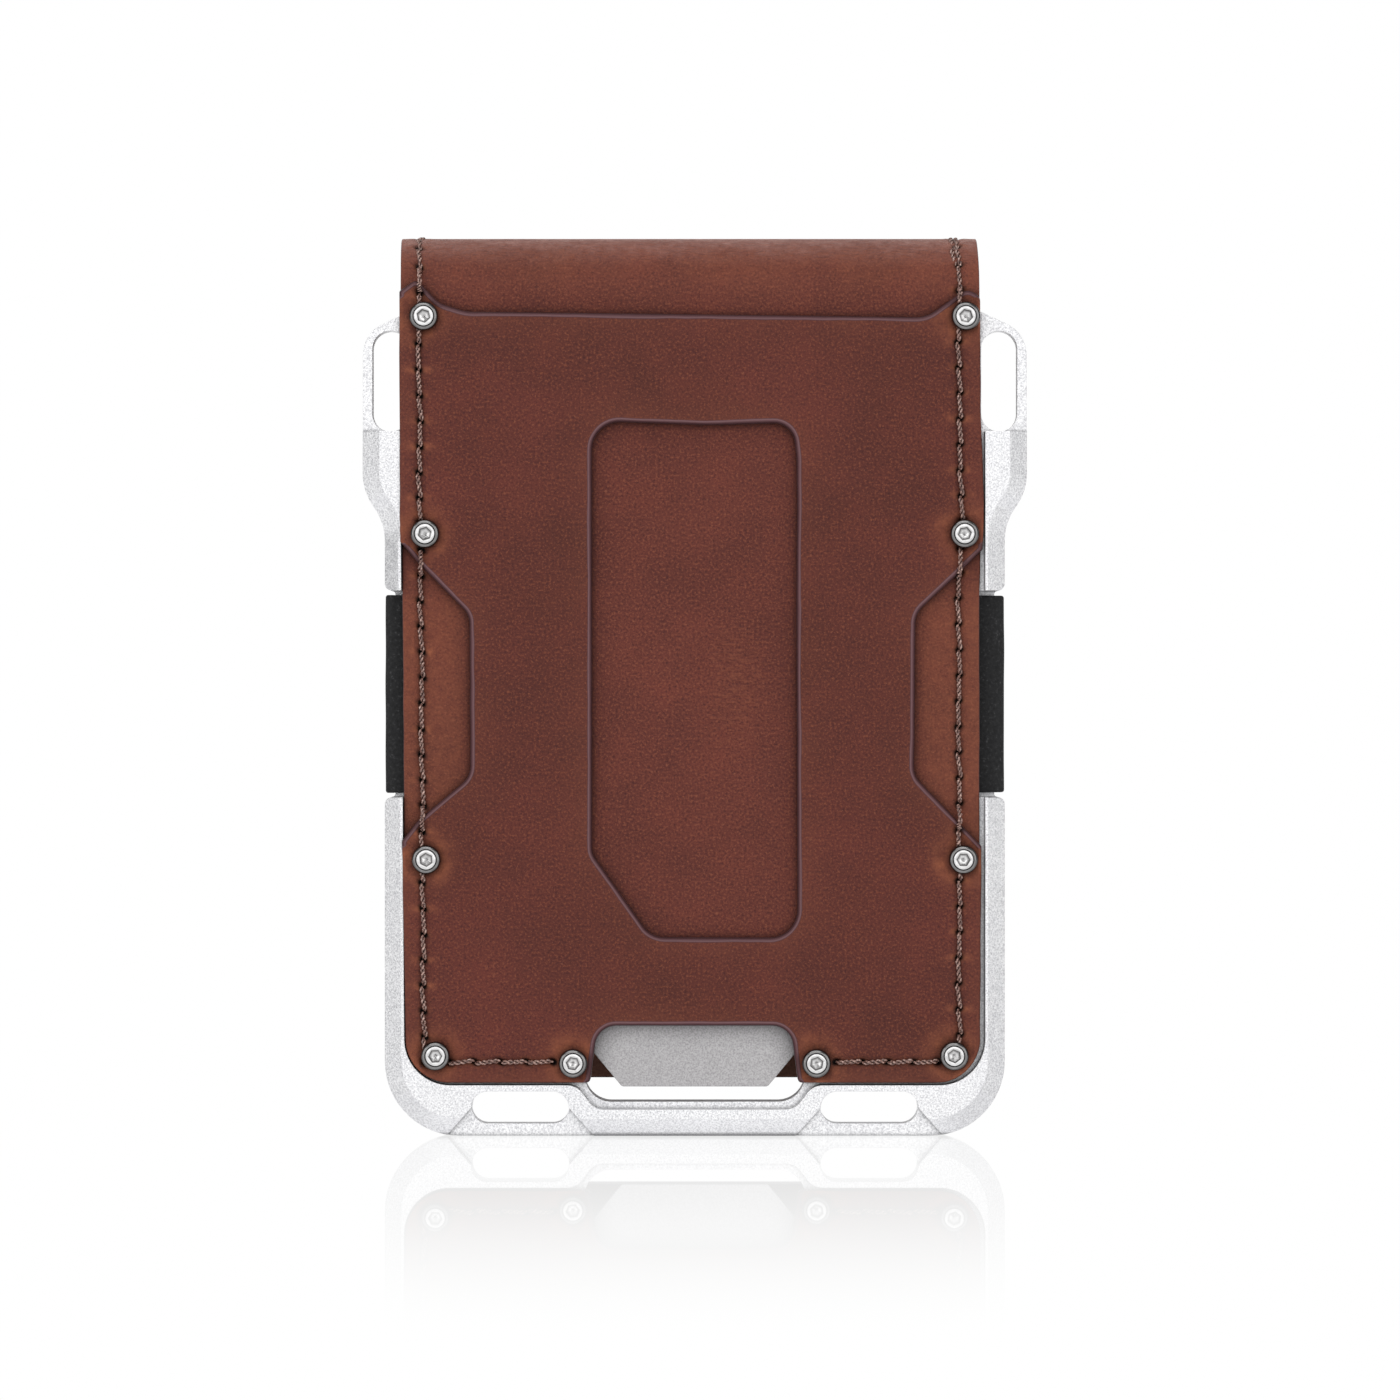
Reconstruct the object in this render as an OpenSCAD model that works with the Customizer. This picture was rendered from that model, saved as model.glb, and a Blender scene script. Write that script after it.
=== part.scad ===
// Metal-framed folding money clip: a milled aluminium chassis with a leather cover screwed to
// its front, a rear cover that folds over the top, a rubber band and a spring steel clip.
// It stands on its bottom edge: X across the front, +Y to the rear, +Z up.

/* [Contents] */
// Width of a payment card
card_w = 54; // [50:0.5:70]
// Height of a payment card
card_h = 85.6; // [75:0.1:110]
// Side play of a card in its bay
card_play = 0.6; // [0.3:0.1:1.5]
// Depth of the card bay, for three cards
bay_d = 2.4; // [1.6:0.1:4]

/* [Chassis] */
// Solid bar on each side of the card bay
side_bar_w = 8.1; // [7.5:0.1:12]
// Solid bar under the card bay
bottom_bar_h = 11.4; // [11:0.1:16]
// Floor between the front recess and the card bay
floor_t = 2.1; // [2.1:0.1:3.5]
// Radius of the two lower corners
corner_r = 8.6; // [6:0.1:10]
// Rim left outside the leather
rim_w = 2.3; // [2:0.1:4]
// Width of the front bevel
bevel_w = 2.0; // [0.5:0.1:2.2]
// Depth of the front bevel
bevel_d = 1.6; // [0.5:0.1:2.5]
// Bevel round the rear face
rear_bevel = 0.7; // [0.2:0.1:1.2]
// Play between the leather and its recess
cover_play = 0.3; // [0.1:0.05:0.6]
// How far the leather stands proud of the rim
cover_proud = 0.3; // [0.1:0.1:1]

/* [Lanyard lugs] */
// How far each upper lug stands out from the side
ear_out = 2.55; // [1.5:0.05:4]
// Height of the upper lugs, from the step up to the top edge
ear_h = 15.85; // [14:0.05:20]
// Length of an upper slot
ear_slot_l = 11.6; // [9:0.1:13]
// Width of an upper slot
ear_slot_w = 4.14; // [3:0.02:4.5]
// Metal outside an upper slot
ear_web = 1.1; // [0.8:0.1:2]
// Length of a lower slot
low_slot_l = 11.25; // [8:0.05:13]
// Width of a lower slot
low_slot_w = 3.8; // [2.5:0.1:4]
// Metal below a lower slot
low_web = 1.4; // [1:0.1:2]
// Distance of a lower slot from the centre line
low_slot_x = 20.1; // [19:0.1:22]
// Thickness of all four lugs
lug_t = 3.0; // [2:0.1:3.6]

/* [Leather] */
// Front and rear cover leather
cover_t = 1.2; // [0.8:0.1:1.6]
// Front pocket leather
pocket_t = 1.2; // [0.8:0.1:1.6]
// Card slot leather
slot_t = 0.8; // [0.5:0.1:1.2]
// Lining of the rear cover
lining_t = 0.5; // [0.3:0.1:0.8]
// Height of the covers' lower edge
cover_z = 6.2; // [5.5:0.1:8]
// Radius of the covers' lower corners
cover_r = 5.0; // [3:0.1:6]
// Drop from the chassis top to the pocket's mouth
mouth_drop = 2.8; // [2:0.1:6]
// Half width of the thumb notch at its mouth
notch_w = 12.0; // [11:0.1:12.3]
// Height of the thumb notch
notch_h = 6.55; // [5:0.05:9]
// Half width of the front pocket's window
window_w = 12.0; // [8:0.1:14]
// Leather between the thumb notch and the window
window_foot = 10.15; // [6:0.05:15]
// Leather between the pocket's mouth and the window
window_head = 11.9; // [6:0.1:15]
// Depth of the side cut-outs of the pocket
side_cut = 7.7; // [5:0.1:9]
// Step in height from one card slot to the next
slot_step = 12; // [8:0.5:14]
// Drop from the chassis top to the first card slot's mouth
slot_drop = 10; // [6:0.5:16]
// Angle of the fold's arc that stays with each cover
fold_a = 30; // [20:1:40]

/* [Rubber band] */
// Width of the band
band_w = 22.8; // [16:0.1:28]
// Thickness of the band
band_t = 1.2; // [0.8:0.1:1.5]
// Play between the band and each end of the waist
band_play = 0.5; // [0.3:0.1:1]
// Depth of the waist in each side
waist_d = 1.1; // [0.8:0.1:1.6]
// Radius of the rim's ends at the waist
rim_end_r = 0.85; // [0.2:0.05:1]
// Drop from the chassis top to the waist
waist_drop = 34.2; // [32:0.1:37]

/* [Money clip] */
// Width of the spring steel
clip_w = 24; // [18:0.1:24.4]
// Thickness of the spring steel
clip_t = 0.8; // [0.5:0.1:0.9]
// How far the tip stands below the leather
clip_tip = 0.55; // [0.2:0.05:1]
// Height of the tip's corner chamfers
clip_chamfer = 4.3; // [2:0.1:5]
// Gap between the rear leg and the band
clip_gap = 0.2; // [0.1:0.1:1]
// Width of the rear leg at its tip
clip_tip_w = 18; // [12:0.5:24]
// Drop from the waist to the rear leg's tip
clip_leg_drop = 6; // [3:0.5:16]
// Lift of the rear leg's flared tip
clip_flare = 0.7; // [0.3:0.1:1]
// Play between the front leg and the leather
clip_play = 0.08; // [0.02:0.01:0.1]
// Room for notes behind the rear leg
note_gap = 2.4; // [2:0.1:4]

/* [Screws] */
// Diameter of a screw's head
head_dia = 3.3; // [2.8:0.1:3.6]
// Height of a screw's head
head_h = 1.1; // [0.8:0.1:1.5]
// Diameter of a screw's shank
shank_dia = 1.6; // [1.2:0.1:2]
// Width across the flats of the hexagon socket
hex_w = 1.4; // [0.9:0.1:1.6]
// Length of shank in the chassis
bite = 3.2; // [2:0.1:3.6]
// Radial clearance of a shank in its hole
shank_play = 0.05; // [0.02:0.01:0.2]

/* [Stitching] */
// Thickness of the thread
thread_t = 0.6; // [0.3:0.1:0.8]
// How far the thread stands above the leather
thread_up = 0.15; // [0.1:0.05:0.4]
// Distance of the seams from the leather's edge
seam_in = 2.4; // [1.8:0.1:4]

/* [Hidden] */
eps = 0.01;
round_fn = 48;
arc_step = 6;

// Widths and heights, worked out from the card
bay_w = card_w / 2 + card_play;
side_x = bay_w + side_bar_w;
ear_x = side_x + ear_out;
top_z = bottom_bar_h + card_h;
cover_x = side_x - rim_w - cover_play;
seam_x = cover_x - seam_in;
step_z = top_z - ear_h;
waist_top = top_z - waist_drop;
waist_low = waist_top - band_w - 2 * band_play;
band_z = waist_low + band_play;
waist_x = side_x - waist_d;
sway_z = waist_top + 5.8;
notch_z = cover_z + notch_h;
mouth_z = top_z - mouth_drop;
clip_z = cover_z - clip_tip;
opening_x = 12.7;
opening_z = 3.9;

// Depths, from the tops of the screw heads to the rear cover's seam
stack = head_h + pocket_t + cover_t + floor_t + bay_d + band_t + clip_gap + clip_t
      + note_gap + 3 * slot_t + lining_t + cover_t + thread_up;
pocket_y = head_h - stack / 2;
front_y = pocket_y + pocket_t;
rim_y = pocket_y + cover_proud;
floor_y = front_y + cover_t;
bay_y = floor_y + floor_t;
back_y = bay_y + bay_d;
leg_y = back_y + band_t + clip_gap;
slots_y = leg_y + clip_t + note_gap;
lining_y = slots_y + 3 * slot_t;
rear_y = lining_y + lining_t;
outer_y = rear_y + cover_t;
lug_y = floor_y;
band_y = bay_y - band_t;

// The fold: half a tube that joins the two covers
fold_r = (outer_y - front_y) / 2;
fold_y = (outer_y + front_y) / 2;
fold_z = top_z - 0.6;

// The steel's bend over the top of the chassis
clip_y = floor_y + clip_play;
bend_r = (leg_y + clip_t - clip_y) / 2;
bend_y = clip_y + bend_r;
bend_gap_a = 3;

// Screws sit in the bars beside and below the card bay
screw_x = [cover_x - 1.95, cover_x - 2.1, cover_x - 2.25, cover_x - 3.3];
screw_z = [top_z - 2.7, waist_top + 6.5, waist_low - 7.15, cover_z + 3.1];
notch_screw = [14.0, cover_z + 2.25];
screws = [for (s = [-1, 1]) each [for (i = [0:3]) [s * screw_x[i], screw_z[i]],
          [s * notch_screw[0], notch_screw[1]]]];

// A closed outline with each corner [x, z, r] turned into an arc of radius r
function unit(v) = v / norm(v);
function corner(a, b, c) =
    let (p = [b[0], b[1]], u = unit([a[0], a[1]] - p), v = unit([c[0], c[1]] - p),
         half = acos(max(-1, min(1, u * v))) / 2, turn = 180 - 2 * half,
         n = max(1, ceil(turn / arc_step)), centre = p + unit(u + v) * b[2] / sin(half),
         start = p + u * b[2] / tan(half) - centre, side = sign(u[0] * v[1] - u[1] * v[0]))
    [for (i = [0:n]) let (t = side * -turn * i / n)
        centre + [start[0] * cos(t) - start[1] * sin(t), start[0] * sin(t) + start[1] * cos(t)]];
function rounded(pts) = let (n = len(pts))
    [for (i = [0:n - 1]) each pts[i][2] > 0
        ? corner(pts[(i + n - 1) % n], pts[i], pts[(i + 1) % n]) : [[pts[i][0], pts[i][1]]]];
function mirrored(pts) = concat(pts, [for (i = [len(pts) - 1:-1:0]) [-pts[i][0], pts[i][1], pts[i][2]]]);

// An anticlockwise outline moved inwards by d
function inset(pts, d) = let (n = len(pts))
    [for (i = [0:n - 1])
        let (e = unit(pts[i] - pts[(i + n - 1) % n]), f = unit(pts[(i + 1) % n] - pts[i]),
             m = [-e[1], e[0]], k = [-f[1], f[0]])
        pts[i] + (m + k) * d / (1 + m * k)];

// A flat piece from y0 to y1, drawn in X and Z
module plate(y0, y1) {
    translate([0, y1, 0]) rotate([90, 0, 0]) linear_extrude(y1 - y0) children();
}

module bore(x, z, r, y0, y1) {
    translate([x, y1, z]) rotate([90, 0, 0]) cylinder(r = r, h = y1 - y0, $fn = round_fn);
}

module slot(x, z, length, width, y0, y1, upright = false) {
    run = (length - width) / 2;
    dx = upright ? 0 : run;
    dz = upright ? run : 0;
    for (s = [-1, 1]) bore(x + s * dx, z + s * dz, width / 2, y0, y1);
    translate([x - max(dx, width / 2 * (upright ? 1 : 0)), y0, z - max(dz, width / 2 * (upright ? 0 : 1))])
        cube([2 * max(dx, upright ? width / 2 : 0), y1 - y0, 2 * max(dz, upright ? 0 : width / 2)]);
}

// Part of a tube along X: the arc from a0 to a1, measured from the front over the top to the rear
module arc_tube(r0, r1, w, y, z, a0, a1) {
    translate([0, y, z]) rotate([0, 90, 0]) rotate([0, 0, -90 - a1])
        rotate_extrude(angle = a1 - a0, $fn = round_fn * 2)
            translate([r0, -w]) square([r1 - r0, 2 * w]);
}

chassis_outline = rounded(mirrored([
    [side_x, 0, corner_r], [side_x, sway_z + 2, 6.5], [ear_x, sway_z + 5.66, 6.5],
    [ear_x, top_z - 4.5, 4], [ear_x - 9.7, top_z, bevel_w + 1]]));

// The milled block with its bevels, one ring of points for each depth, then faced at front and back
module chassis_blank() {
    over = 0.2;
    rings = [[rim_y - over, bevel_w * (1 + over / bevel_d)], [rim_y + bevel_d, 0],
             [back_y - rear_bevel, 0], [back_y + over, rear_bevel + over]];
    n = len(chassis_outline);
    points = [for (k = rings) each [for (p = inset(chassis_outline, k[1])) [p[0], k[0], p[1]]]];
    last = (len(rings) - 1) * n;
    sides = [for (k = [0:len(rings) - 2], i = [0:n - 1])
        [k * n + i, k * n + (i + 1) % n, (k + 1) * n + (i + 1) % n, (k + 1) * n + i]];
    intersection() {
        polyhedron(points, concat([[for (i = [n - 1:-1:0]) i]], sides, [[for (i = [0:n - 1]) last + i]]));
        translate([-ear_x - 1, rim_y, -1]) cube([2 * ear_x + 2, back_y - rim_y, top_z + 2]);
    }
}

// Recess that takes the leather, with a dip under the thumb notch
module cover_recess() {
    x = cover_x + cover_play;
    z = cover_z - cover_play;
    plate(rim_y - 1, floor_y) polygon(rounded(mirrored([
        [opening_x - 1.2, opening_z - 0.8, 2.2], [opening_x + 0.9, z, 2.2],
        [x, z, cover_r + cover_play], [x, top_z + 1, 0]])));
}

module lug_pockets() {
    low_z = low_web + low_slot_w / 2;
    for (s = [-1, 1]) {
        for (y = [[rim_y - 1, lug_y], [lug_y + lug_t, back_y + 1]]) {
            translate([s * (ear_x - 1) - 7, y[0], step_z]) cube([14, y[1] - y[0], ear_h + 1]);
            plate(y[0], y[1]) polygon([
                [s * low_slot_x - low_slot_l / 2 - 2.9, -eps], [s * low_slot_x + low_slot_l / 2 + 2.9, -eps],
                [s * low_slot_x + low_slot_l / 2, low_z], [s * low_slot_x - low_slot_l / 2, low_z]]);
        }
        slot(s * (ear_x - ear_web - ear_slot_w / 2), step_z + ear_slot_l / 2,
             ear_slot_l, ear_slot_w, rim_y - 1, back_y + 1, upright = true);
        slot(s * low_slot_x, low_z, low_slot_l, low_slot_w, rim_y - 1, back_y + 1);
    }
}

// Waist in each side and the channel across the front, for the band
module band_channel() {
    for (s = [0, 1]) mirror([s, 0, 0])
        plate(rim_y - 1, back_y + 1) polygon(rounded([
            [waist_x, waist_low, 0.4], [side_x + eps, waist_low, rim_end_r], [side_x + eps, waist_low - 1.2, 0],
            [side_x + 2, waist_low - 1.2, 0], [side_x + 2, waist_top + 1.2, 0],
            [side_x + eps, waist_top + 1.2, 0], [side_x + eps, waist_top, rim_end_r], [waist_x, waist_top, 0.4]]));
    translate([-side_x - 1, rim_y - 1, waist_low])
        cube([2 * side_x + 2, bay_y - rim_y + 1, waist_top - waist_low]);
}

module chassis() {
    color("gainsboro") difference() {
        chassis_blank();
        cover_recess();
        lug_pockets();
        band_channel();
        // card bay, open at the top
        translate([-bay_w, bay_y, bottom_bar_h]) cube([2 * bay_w, bay_d + 1, card_h + 1]);
        // eased edge under the fold
        translate([0, floor_y, top_z]) rotate([45, 0, 0]) cube([2 * ear_x, 0.4, 0.4], center = true);
        // channel for the clip's front leg
        translate([-clip_w / 2 - 0.2, rim_y - 1, notch_z - 1])
            cube([clip_w + 0.4, clip_y + clip_t - rim_y + 1, card_h]);
        // opening behind the thumb notch
        plate(rim_y, back_y + 1) polygon(rounded(mirrored([
            [opening_x, opening_z, 3.1], [opening_x, notch_z, 1]])));
        for (p = screws) bore(p[0], p[1], shank_dia / 2 + shank_play, floor_y - 1, floor_y + bite + 0.4);
    }
}

notch_outline = [[notch_w + 0.2, cover_z - 1, 0], [notch_w, cover_z, 0], [notch_w - 0.9, notch_z, 2.4]];

module notch() {
    polygon(rounded(mirrored(notch_outline)));
}

module screw_holes(y0, y1) {
    for (p = screws) bore(p[0], p[1], shank_dia / 2 + 2 * shank_play, y0, y1);
}

module front_cover() {
    color("saddlebrown") difference() {
        union() {
            plate(front_y, floor_y)
                polygon(rounded(mirrored([[cover_x, cover_z, cover_r], [cover_x, fold_z + eps, 0]])));
            arc_tube(fold_r - cover_t, fold_r, cover_x, fold_y, fold_z, 0, fold_a);
        }
        plate(front_y - 1, floor_y + 1) notch();
        screw_holes(front_y - 1, floor_y + 1);
    }
}

pocket_outline = mirrored([
    [cover_x, cover_z, cover_r],
    [cover_x, waist_low - 5, 0], [cover_x - side_cut, waist_low + 2.5, 2], [cover_x - side_cut, waist_top - 2.3, 2],
    [cover_x, waist_top + 5, 0],
    [cover_x, mouth_z + 2.4, 1], [cover_x - 1.5, mouth_z + 3.3, 1.5], [cover_x - 6.5, mouth_z, 3]]);

module front_pocket() {
    low = notch_z + window_foot;
    high = mouth_z - window_head;
    color("sienna") difference() {
        plate(pocket_y, front_y) difference() {
            polygon(rounded(pocket_outline));
            notch();
            polygon(rounded([[-window_w, low + 9.6, 2], [-window_w + 6.8, low, 3], [window_w, low, 3.2],
                             [window_w, high, 2.8], [-window_w, high, 2.8]]));
        }
        screw_holes(pocket_y - 1, front_y + 1);
    }
}

module spine() {
    color("saddlebrown")
        arc_tube(fold_r - cover_t, fold_r, cover_x, fold_y, fold_z, fold_a + 0.5, 179.5 - fold_a);
}

module rear_cover() {
    color("saddlebrown") {
        plate(rear_y, outer_y)
            polygon(rounded(mirrored([[cover_x, cover_z, cover_r], [cover_x, fold_z, 0]])));
        arc_tube(fold_r - cover_t, fold_r, cover_x, fold_y, fold_z, 180 - fold_a, 180);
    }
}

module rear_lining() {
    color([0.20, 0.14, 0.11]) plate(lining_y, rear_y)
        polygon(rounded(mirrored([[cover_x, cover_z, cover_r], [cover_x, top_z - 1, 1]])));
}

// Card slot number n, counted from the lining, with a dipped mouth for the thumb
module card_slot(n) {
    mouth = top_z - slot_drop - n * slot_step;
    y = lining_y - (n + 1) * slot_t;
    color("sienna") plate(y, y + slot_t) polygon(rounded(mirrored([
        [cover_x, cover_z, cover_r], [cover_x, mouth, 0.6], [12, mouth, 2], [9, mouth - 3, 2]])));
}

module elastic_band() {
    w = waist_x + band_t;
    color([0.13, 0.13, 0.13]) translate([0, 0, band_z]) linear_extrude(band_w) difference() {
        polygon(rounded([[w, band_y, 1.4], [w, back_y + band_t, 1.4], [-w, back_y + band_t, 1.4], [-w, band_y, 1.4]]));
        polygon([[waist_x, bay_y], [waist_x, back_y], [-waist_x, back_y], [-waist_x, bay_y]]);
    }
}

module clip_front_leg() {
    half = clip_w / 2;
    color("silver") {
        plate(clip_y, clip_y + clip_t) polygon(rounded(mirrored([
            [half - 3.6, clip_z, 0.5], [half, clip_z + clip_chamfer, 0.5], [half, top_z, 0]])));
        arc_tube(bend_r - clip_t, bend_r, half, bend_y, top_z, 0, 90);
    }
}

module clip_rear_leg() {
    half = clip_w / 2;
    tip = clip_tip_w / 2;
    low = waist_low - clip_leg_drop;
    knee = low + 5;
    color("silver") {
        plate(leg_y, leg_y + clip_t)
            polygon(rounded(mirrored([[tip, knee, 0], [half, knee + 14, 4], [half, top_z, 0]])));
        arc_tube(bend_r - clip_t, bend_r, half, bend_y, top_z, 90 + bend_gap_a, 180);
        // flared tip
        translate([0, leg_y, knee]) rotate([asin(clip_flare / 5), 0, 0]) translate([0, -leg_y, -knee])
            plate(leg_y, leg_y + clip_t) polygon(rounded(mirrored([[tip, low, 2.5], [tip, knee + 0.1, 0]])));
    }
}

// Cap screw with a rounded head, a hexagon socket and a plain shank
module screw() {
    edge = 0.55;
    difference() {
        rotate_extrude($fn = round_fn) {
            square([head_dia / 2, head_h - edge]);
            square([head_dia / 2 - edge, head_h]);
            intersection() {
                translate([head_dia / 2 - edge, head_h - edge]) circle(edge, $fn = round_fn);
                square([head_dia, head_h + 1]);
            }
        }
        translate([0, 0, head_h - 0.6]) cylinder(d = hex_w / cos(30), h = 1, $fn = 6);
    }
    length = bite + cover_t + pocket_t;
    translate([0, 0, -length]) cylinder(d = shank_dia, h = length + eps, $fn = round_fn);
}

module cover_screws() {
    color("silver") for (p = screws)
        translate([p[0], pocket_y, p[1]]) rotate([90, 0, 0]) screw();
}

// A straight run of thread lying on the leather at depth y, from [x0, z0] to [x1, z1]
module run(x0, z0, x1, z1, y) {
    h = thread_t / 2;
    color([0.25, 0.16, 0.13]) translate([min(x0, x1) - (z0 == z1 ? 0 : h), y - thread_up, min(z0, z1) - (z0 == z1 ? h : 0)])
        cube([abs(x1 - x0) + (z0 == z1 ? 0 : thread_t), thread_up, abs(z1 - z0) + (z0 == z1 ? thread_t : 0)]);
}

// Upright front seam: on the pocket above and below the side cut-out, and on the cover within it
module front_seam(s) {
    x = s * seam_x;
    reach = seam_in + 0.8;
    gap = head_dia / 2 + 0.4;
    run(x, screw_z[3] + gap, x, screw_z[2] - gap, pocket_y);
    run(x, waist_low - 5 + reach + 0.6, x, waist_top + 5 - reach - 0.6, front_y);
    run(x, screw_z[1] + gap, x, screw_z[0] - gap, pocket_y);
    color([0.25, 0.16, 0.13]) translate([x, 0, 0])
        arc_tube(fold_r, fold_r + thread_up, thread_t / 2, fold_y, fold_z, 9, fold_a);
}

module front_seam_bottom(s) {
    run(s * (notch_screw[0] + head_dia / 2 + 0.4), notch_screw[1],
        s * (screw_x[3] - head_dia / 2 - 0.4), notch_screw[1], pocket_y);
}

module spine_seams() {
    color([0.25, 0.16, 0.13]) for (s = [-1, 1]) translate([s * seam_x, 0, 0])
        arc_tube(fold_r, fold_r + thread_up, thread_t / 2, fold_y, fold_z, fold_a + 0.5, 179.5 - fold_a);
}

module rear_seam(s) {
    run(s * seam_x, cover_z + seam_in + 3, s * seam_x, fold_z, outer_y + thread_up);
    color([0.25, 0.16, 0.13]) translate([s * seam_x, 0, 0])
        arc_tube(fold_r, fold_r + thread_up, thread_t / 2, fold_y, fold_z, 180 - fold_a, 180);
}

module rear_seam_bottom() {
    run(-seam_x + 3, cover_z + seam_in, seam_x - 3, cover_z + seam_in, outer_y + thread_up);
}

chassis();
front_cover();
front_pocket();
spine();
rear_cover();
rear_lining();
card_slot(0);  // card_slot_upper
card_slot(1);  // card_slot_middle
card_slot(2);  // card_slot_lower
elastic_band();
clip_front_leg();
clip_rear_leg();
cover_screws();
front_seam(-1);  // front_seam_left
front_seam(1);  // front_seam_right
front_seam_bottom(-1);  // front_seam_bottom_left
front_seam_bottom(1);  // front_seam_bottom_right
spine_seams();
rear_seam(-1);  // rear_seam_left
rear_seam(1);  // rear_seam_right
rear_seam_bottom();
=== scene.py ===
import bmesh
import bpy
import math
import numpy as np
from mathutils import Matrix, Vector
from mathutils.geometry import delaunay_2d_cdt


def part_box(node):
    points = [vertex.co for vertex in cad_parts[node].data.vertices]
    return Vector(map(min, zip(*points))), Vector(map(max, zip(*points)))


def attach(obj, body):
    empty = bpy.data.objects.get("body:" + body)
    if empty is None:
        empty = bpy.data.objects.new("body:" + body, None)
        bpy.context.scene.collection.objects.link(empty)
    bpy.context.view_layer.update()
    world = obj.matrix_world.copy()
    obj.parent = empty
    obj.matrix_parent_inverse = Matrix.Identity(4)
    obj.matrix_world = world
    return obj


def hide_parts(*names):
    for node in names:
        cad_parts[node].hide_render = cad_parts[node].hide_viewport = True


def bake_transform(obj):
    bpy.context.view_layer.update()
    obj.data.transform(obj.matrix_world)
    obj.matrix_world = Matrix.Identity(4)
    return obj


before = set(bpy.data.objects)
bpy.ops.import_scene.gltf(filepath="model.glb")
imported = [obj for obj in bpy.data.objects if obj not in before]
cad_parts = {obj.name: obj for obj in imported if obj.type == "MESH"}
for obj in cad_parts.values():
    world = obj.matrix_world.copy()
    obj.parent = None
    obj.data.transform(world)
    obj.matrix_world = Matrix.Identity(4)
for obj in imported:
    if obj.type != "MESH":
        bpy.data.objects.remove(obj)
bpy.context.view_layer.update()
mm = 0.001
print("frame loaded:", len(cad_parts), "nodes")


# Places are taken from the frame, in millimetres
def boxOf(node):
    low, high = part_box(node)
    return low / mm, high / mm


coverLow, coverHigh = boxOf("front_cover")
pocketLow = boxOf("front_pocket")[0]
rearHigh = boxOf("rear_cover")[1]
spineHigh = boxOf("spine")[1]
bandLow, bandHigh = boxOf("elastic_band")
coverX, coverZ = coverHigh.x, coverLow.z
frontY, pocketY, outerY = coverLow.y, pocketLow.y, rearHigh.y
coverT = frontY - pocketY
foldR = (outerY - frontY) / 2
foldY = (outerY + frontY) / 2
foldZ = spineHigh.z - foldR
notchZ = coverZ + 6.55


def screwPlaces(node):  # middle of each separate screw, in X and Z
    mesh = bmesh.new()
    mesh.from_mesh(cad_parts[node].data)
    bmesh.ops.remove_doubles(mesh, verts=mesh.verts, dist=1e-6)
    seen, places = set(), []
    for start in mesh.verts:
        if start in seen:
            continue
        island, queue = [], [start]
        seen.add(start)
        while queue:
            vert = queue.pop()
            island.append(vert.co.copy())
            for edge in vert.link_edges:
                other = edge.other_vert(vert)
                if other not in seen:
                    seen.add(other)
                    queue.append(other)
        low = [min(p[k] for p in island) for k in range(3)]
        high = [max(p[k] for p in island) for k in range(3)]
        places.append(((low[0] + high[0]) / 2 / mm, (low[2] + high[2]) / 2 / mm))
    mesh.free()
    return sorted(places)


screws = screwPlaces("cover_screws")
print("screws at", [(round(x, 2), round(z, 2)) for x, z in screws])


def linearColour(hexText, alpha=1.0):
    values = [int(hexText[i:i + 2], 16) / 255 for i in (1, 3, 5)]
    return (*[v / 12.92 if v <= 0.04045 else ((v + 0.055) / 1.055) ** 2.4 for v in values], alpha)


def addNode(tree, kind, settings=None, links=None, **options):
    node = tree.nodes.new(kind)
    for key, value in options.items():
        setattr(node, key, value)
    for key, value in (settings or {}).items():
        node.inputs[key].default_value = value
    for key, socket in (links or {}).items():
        tree.links.new(socket, node.inputs[key])
    return node


def setRamp(node, stops):
    elements = node.color_ramp.elements
    while len(elements) > 1:
        elements.remove(elements[-1])
    for i, (place, colour) in enumerate(stops):
        element = elements[0] if i == 0 else elements.new(place)
        element.position = place
        element.color = colour
    return node


def newMaterial(name):
    material = bpy.data.materials.new(name)
    material.use_nodes = True
    tree = material.node_tree
    tree.nodes.clear()
    shader = tree.nodes.new("ShaderNodeBsdfPrincipled")
    out = tree.nodes.new("ShaderNodeOutputMaterial")
    tree.links.new(shader.outputs["BSDF"], out.inputs["Surface"])
    return material, tree, shader


def mixColours(tree, factor, a, b, blend="MIX"):
    node = addNode(tree, "ShaderNodeMix", data_type="RGBA", blend_type=blend)
    for index, value in ((0, factor), (6, a), (7, b)):
        if isinstance(value, (float, tuple)):
            node.inputs[index].default_value = value
        else:
            tree.links.new(value, node.inputs[index])
    return node.outputs[2]


def paintedShade(tree, colour, reach, darkest):  # painted shade: darker where the surface is hemmed in, as in corners and under ledges
    opened = addNode(tree, "ShaderNodeAmbientOcclusion", {"Distance": reach * mm}, samples=8)
    amount = addNode(tree, "ShaderNodeMapRange",
                     {"From Min": 0.25, "From Max": 0.95, "To Min": darkest, "To Max": 1.0},
                     {"Value": opened.outputs["AO"]})
    return mixColours(tree, 1.0, colour, amount.outputs["Result"], "MULTIPLY")


def addObject(name, data):
    obj = bpy.data.objects.new(name, data)
    bpy.context.scene.collection.objects.link(obj)
    return obj


def facesOutward(mesh):
    work = bmesh.new()
    work.from_mesh(mesh)
    bmesh.ops.recalc_face_normals(work, faces=work.faces)
    work.to_mesh(mesh)
    work.free()


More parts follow.
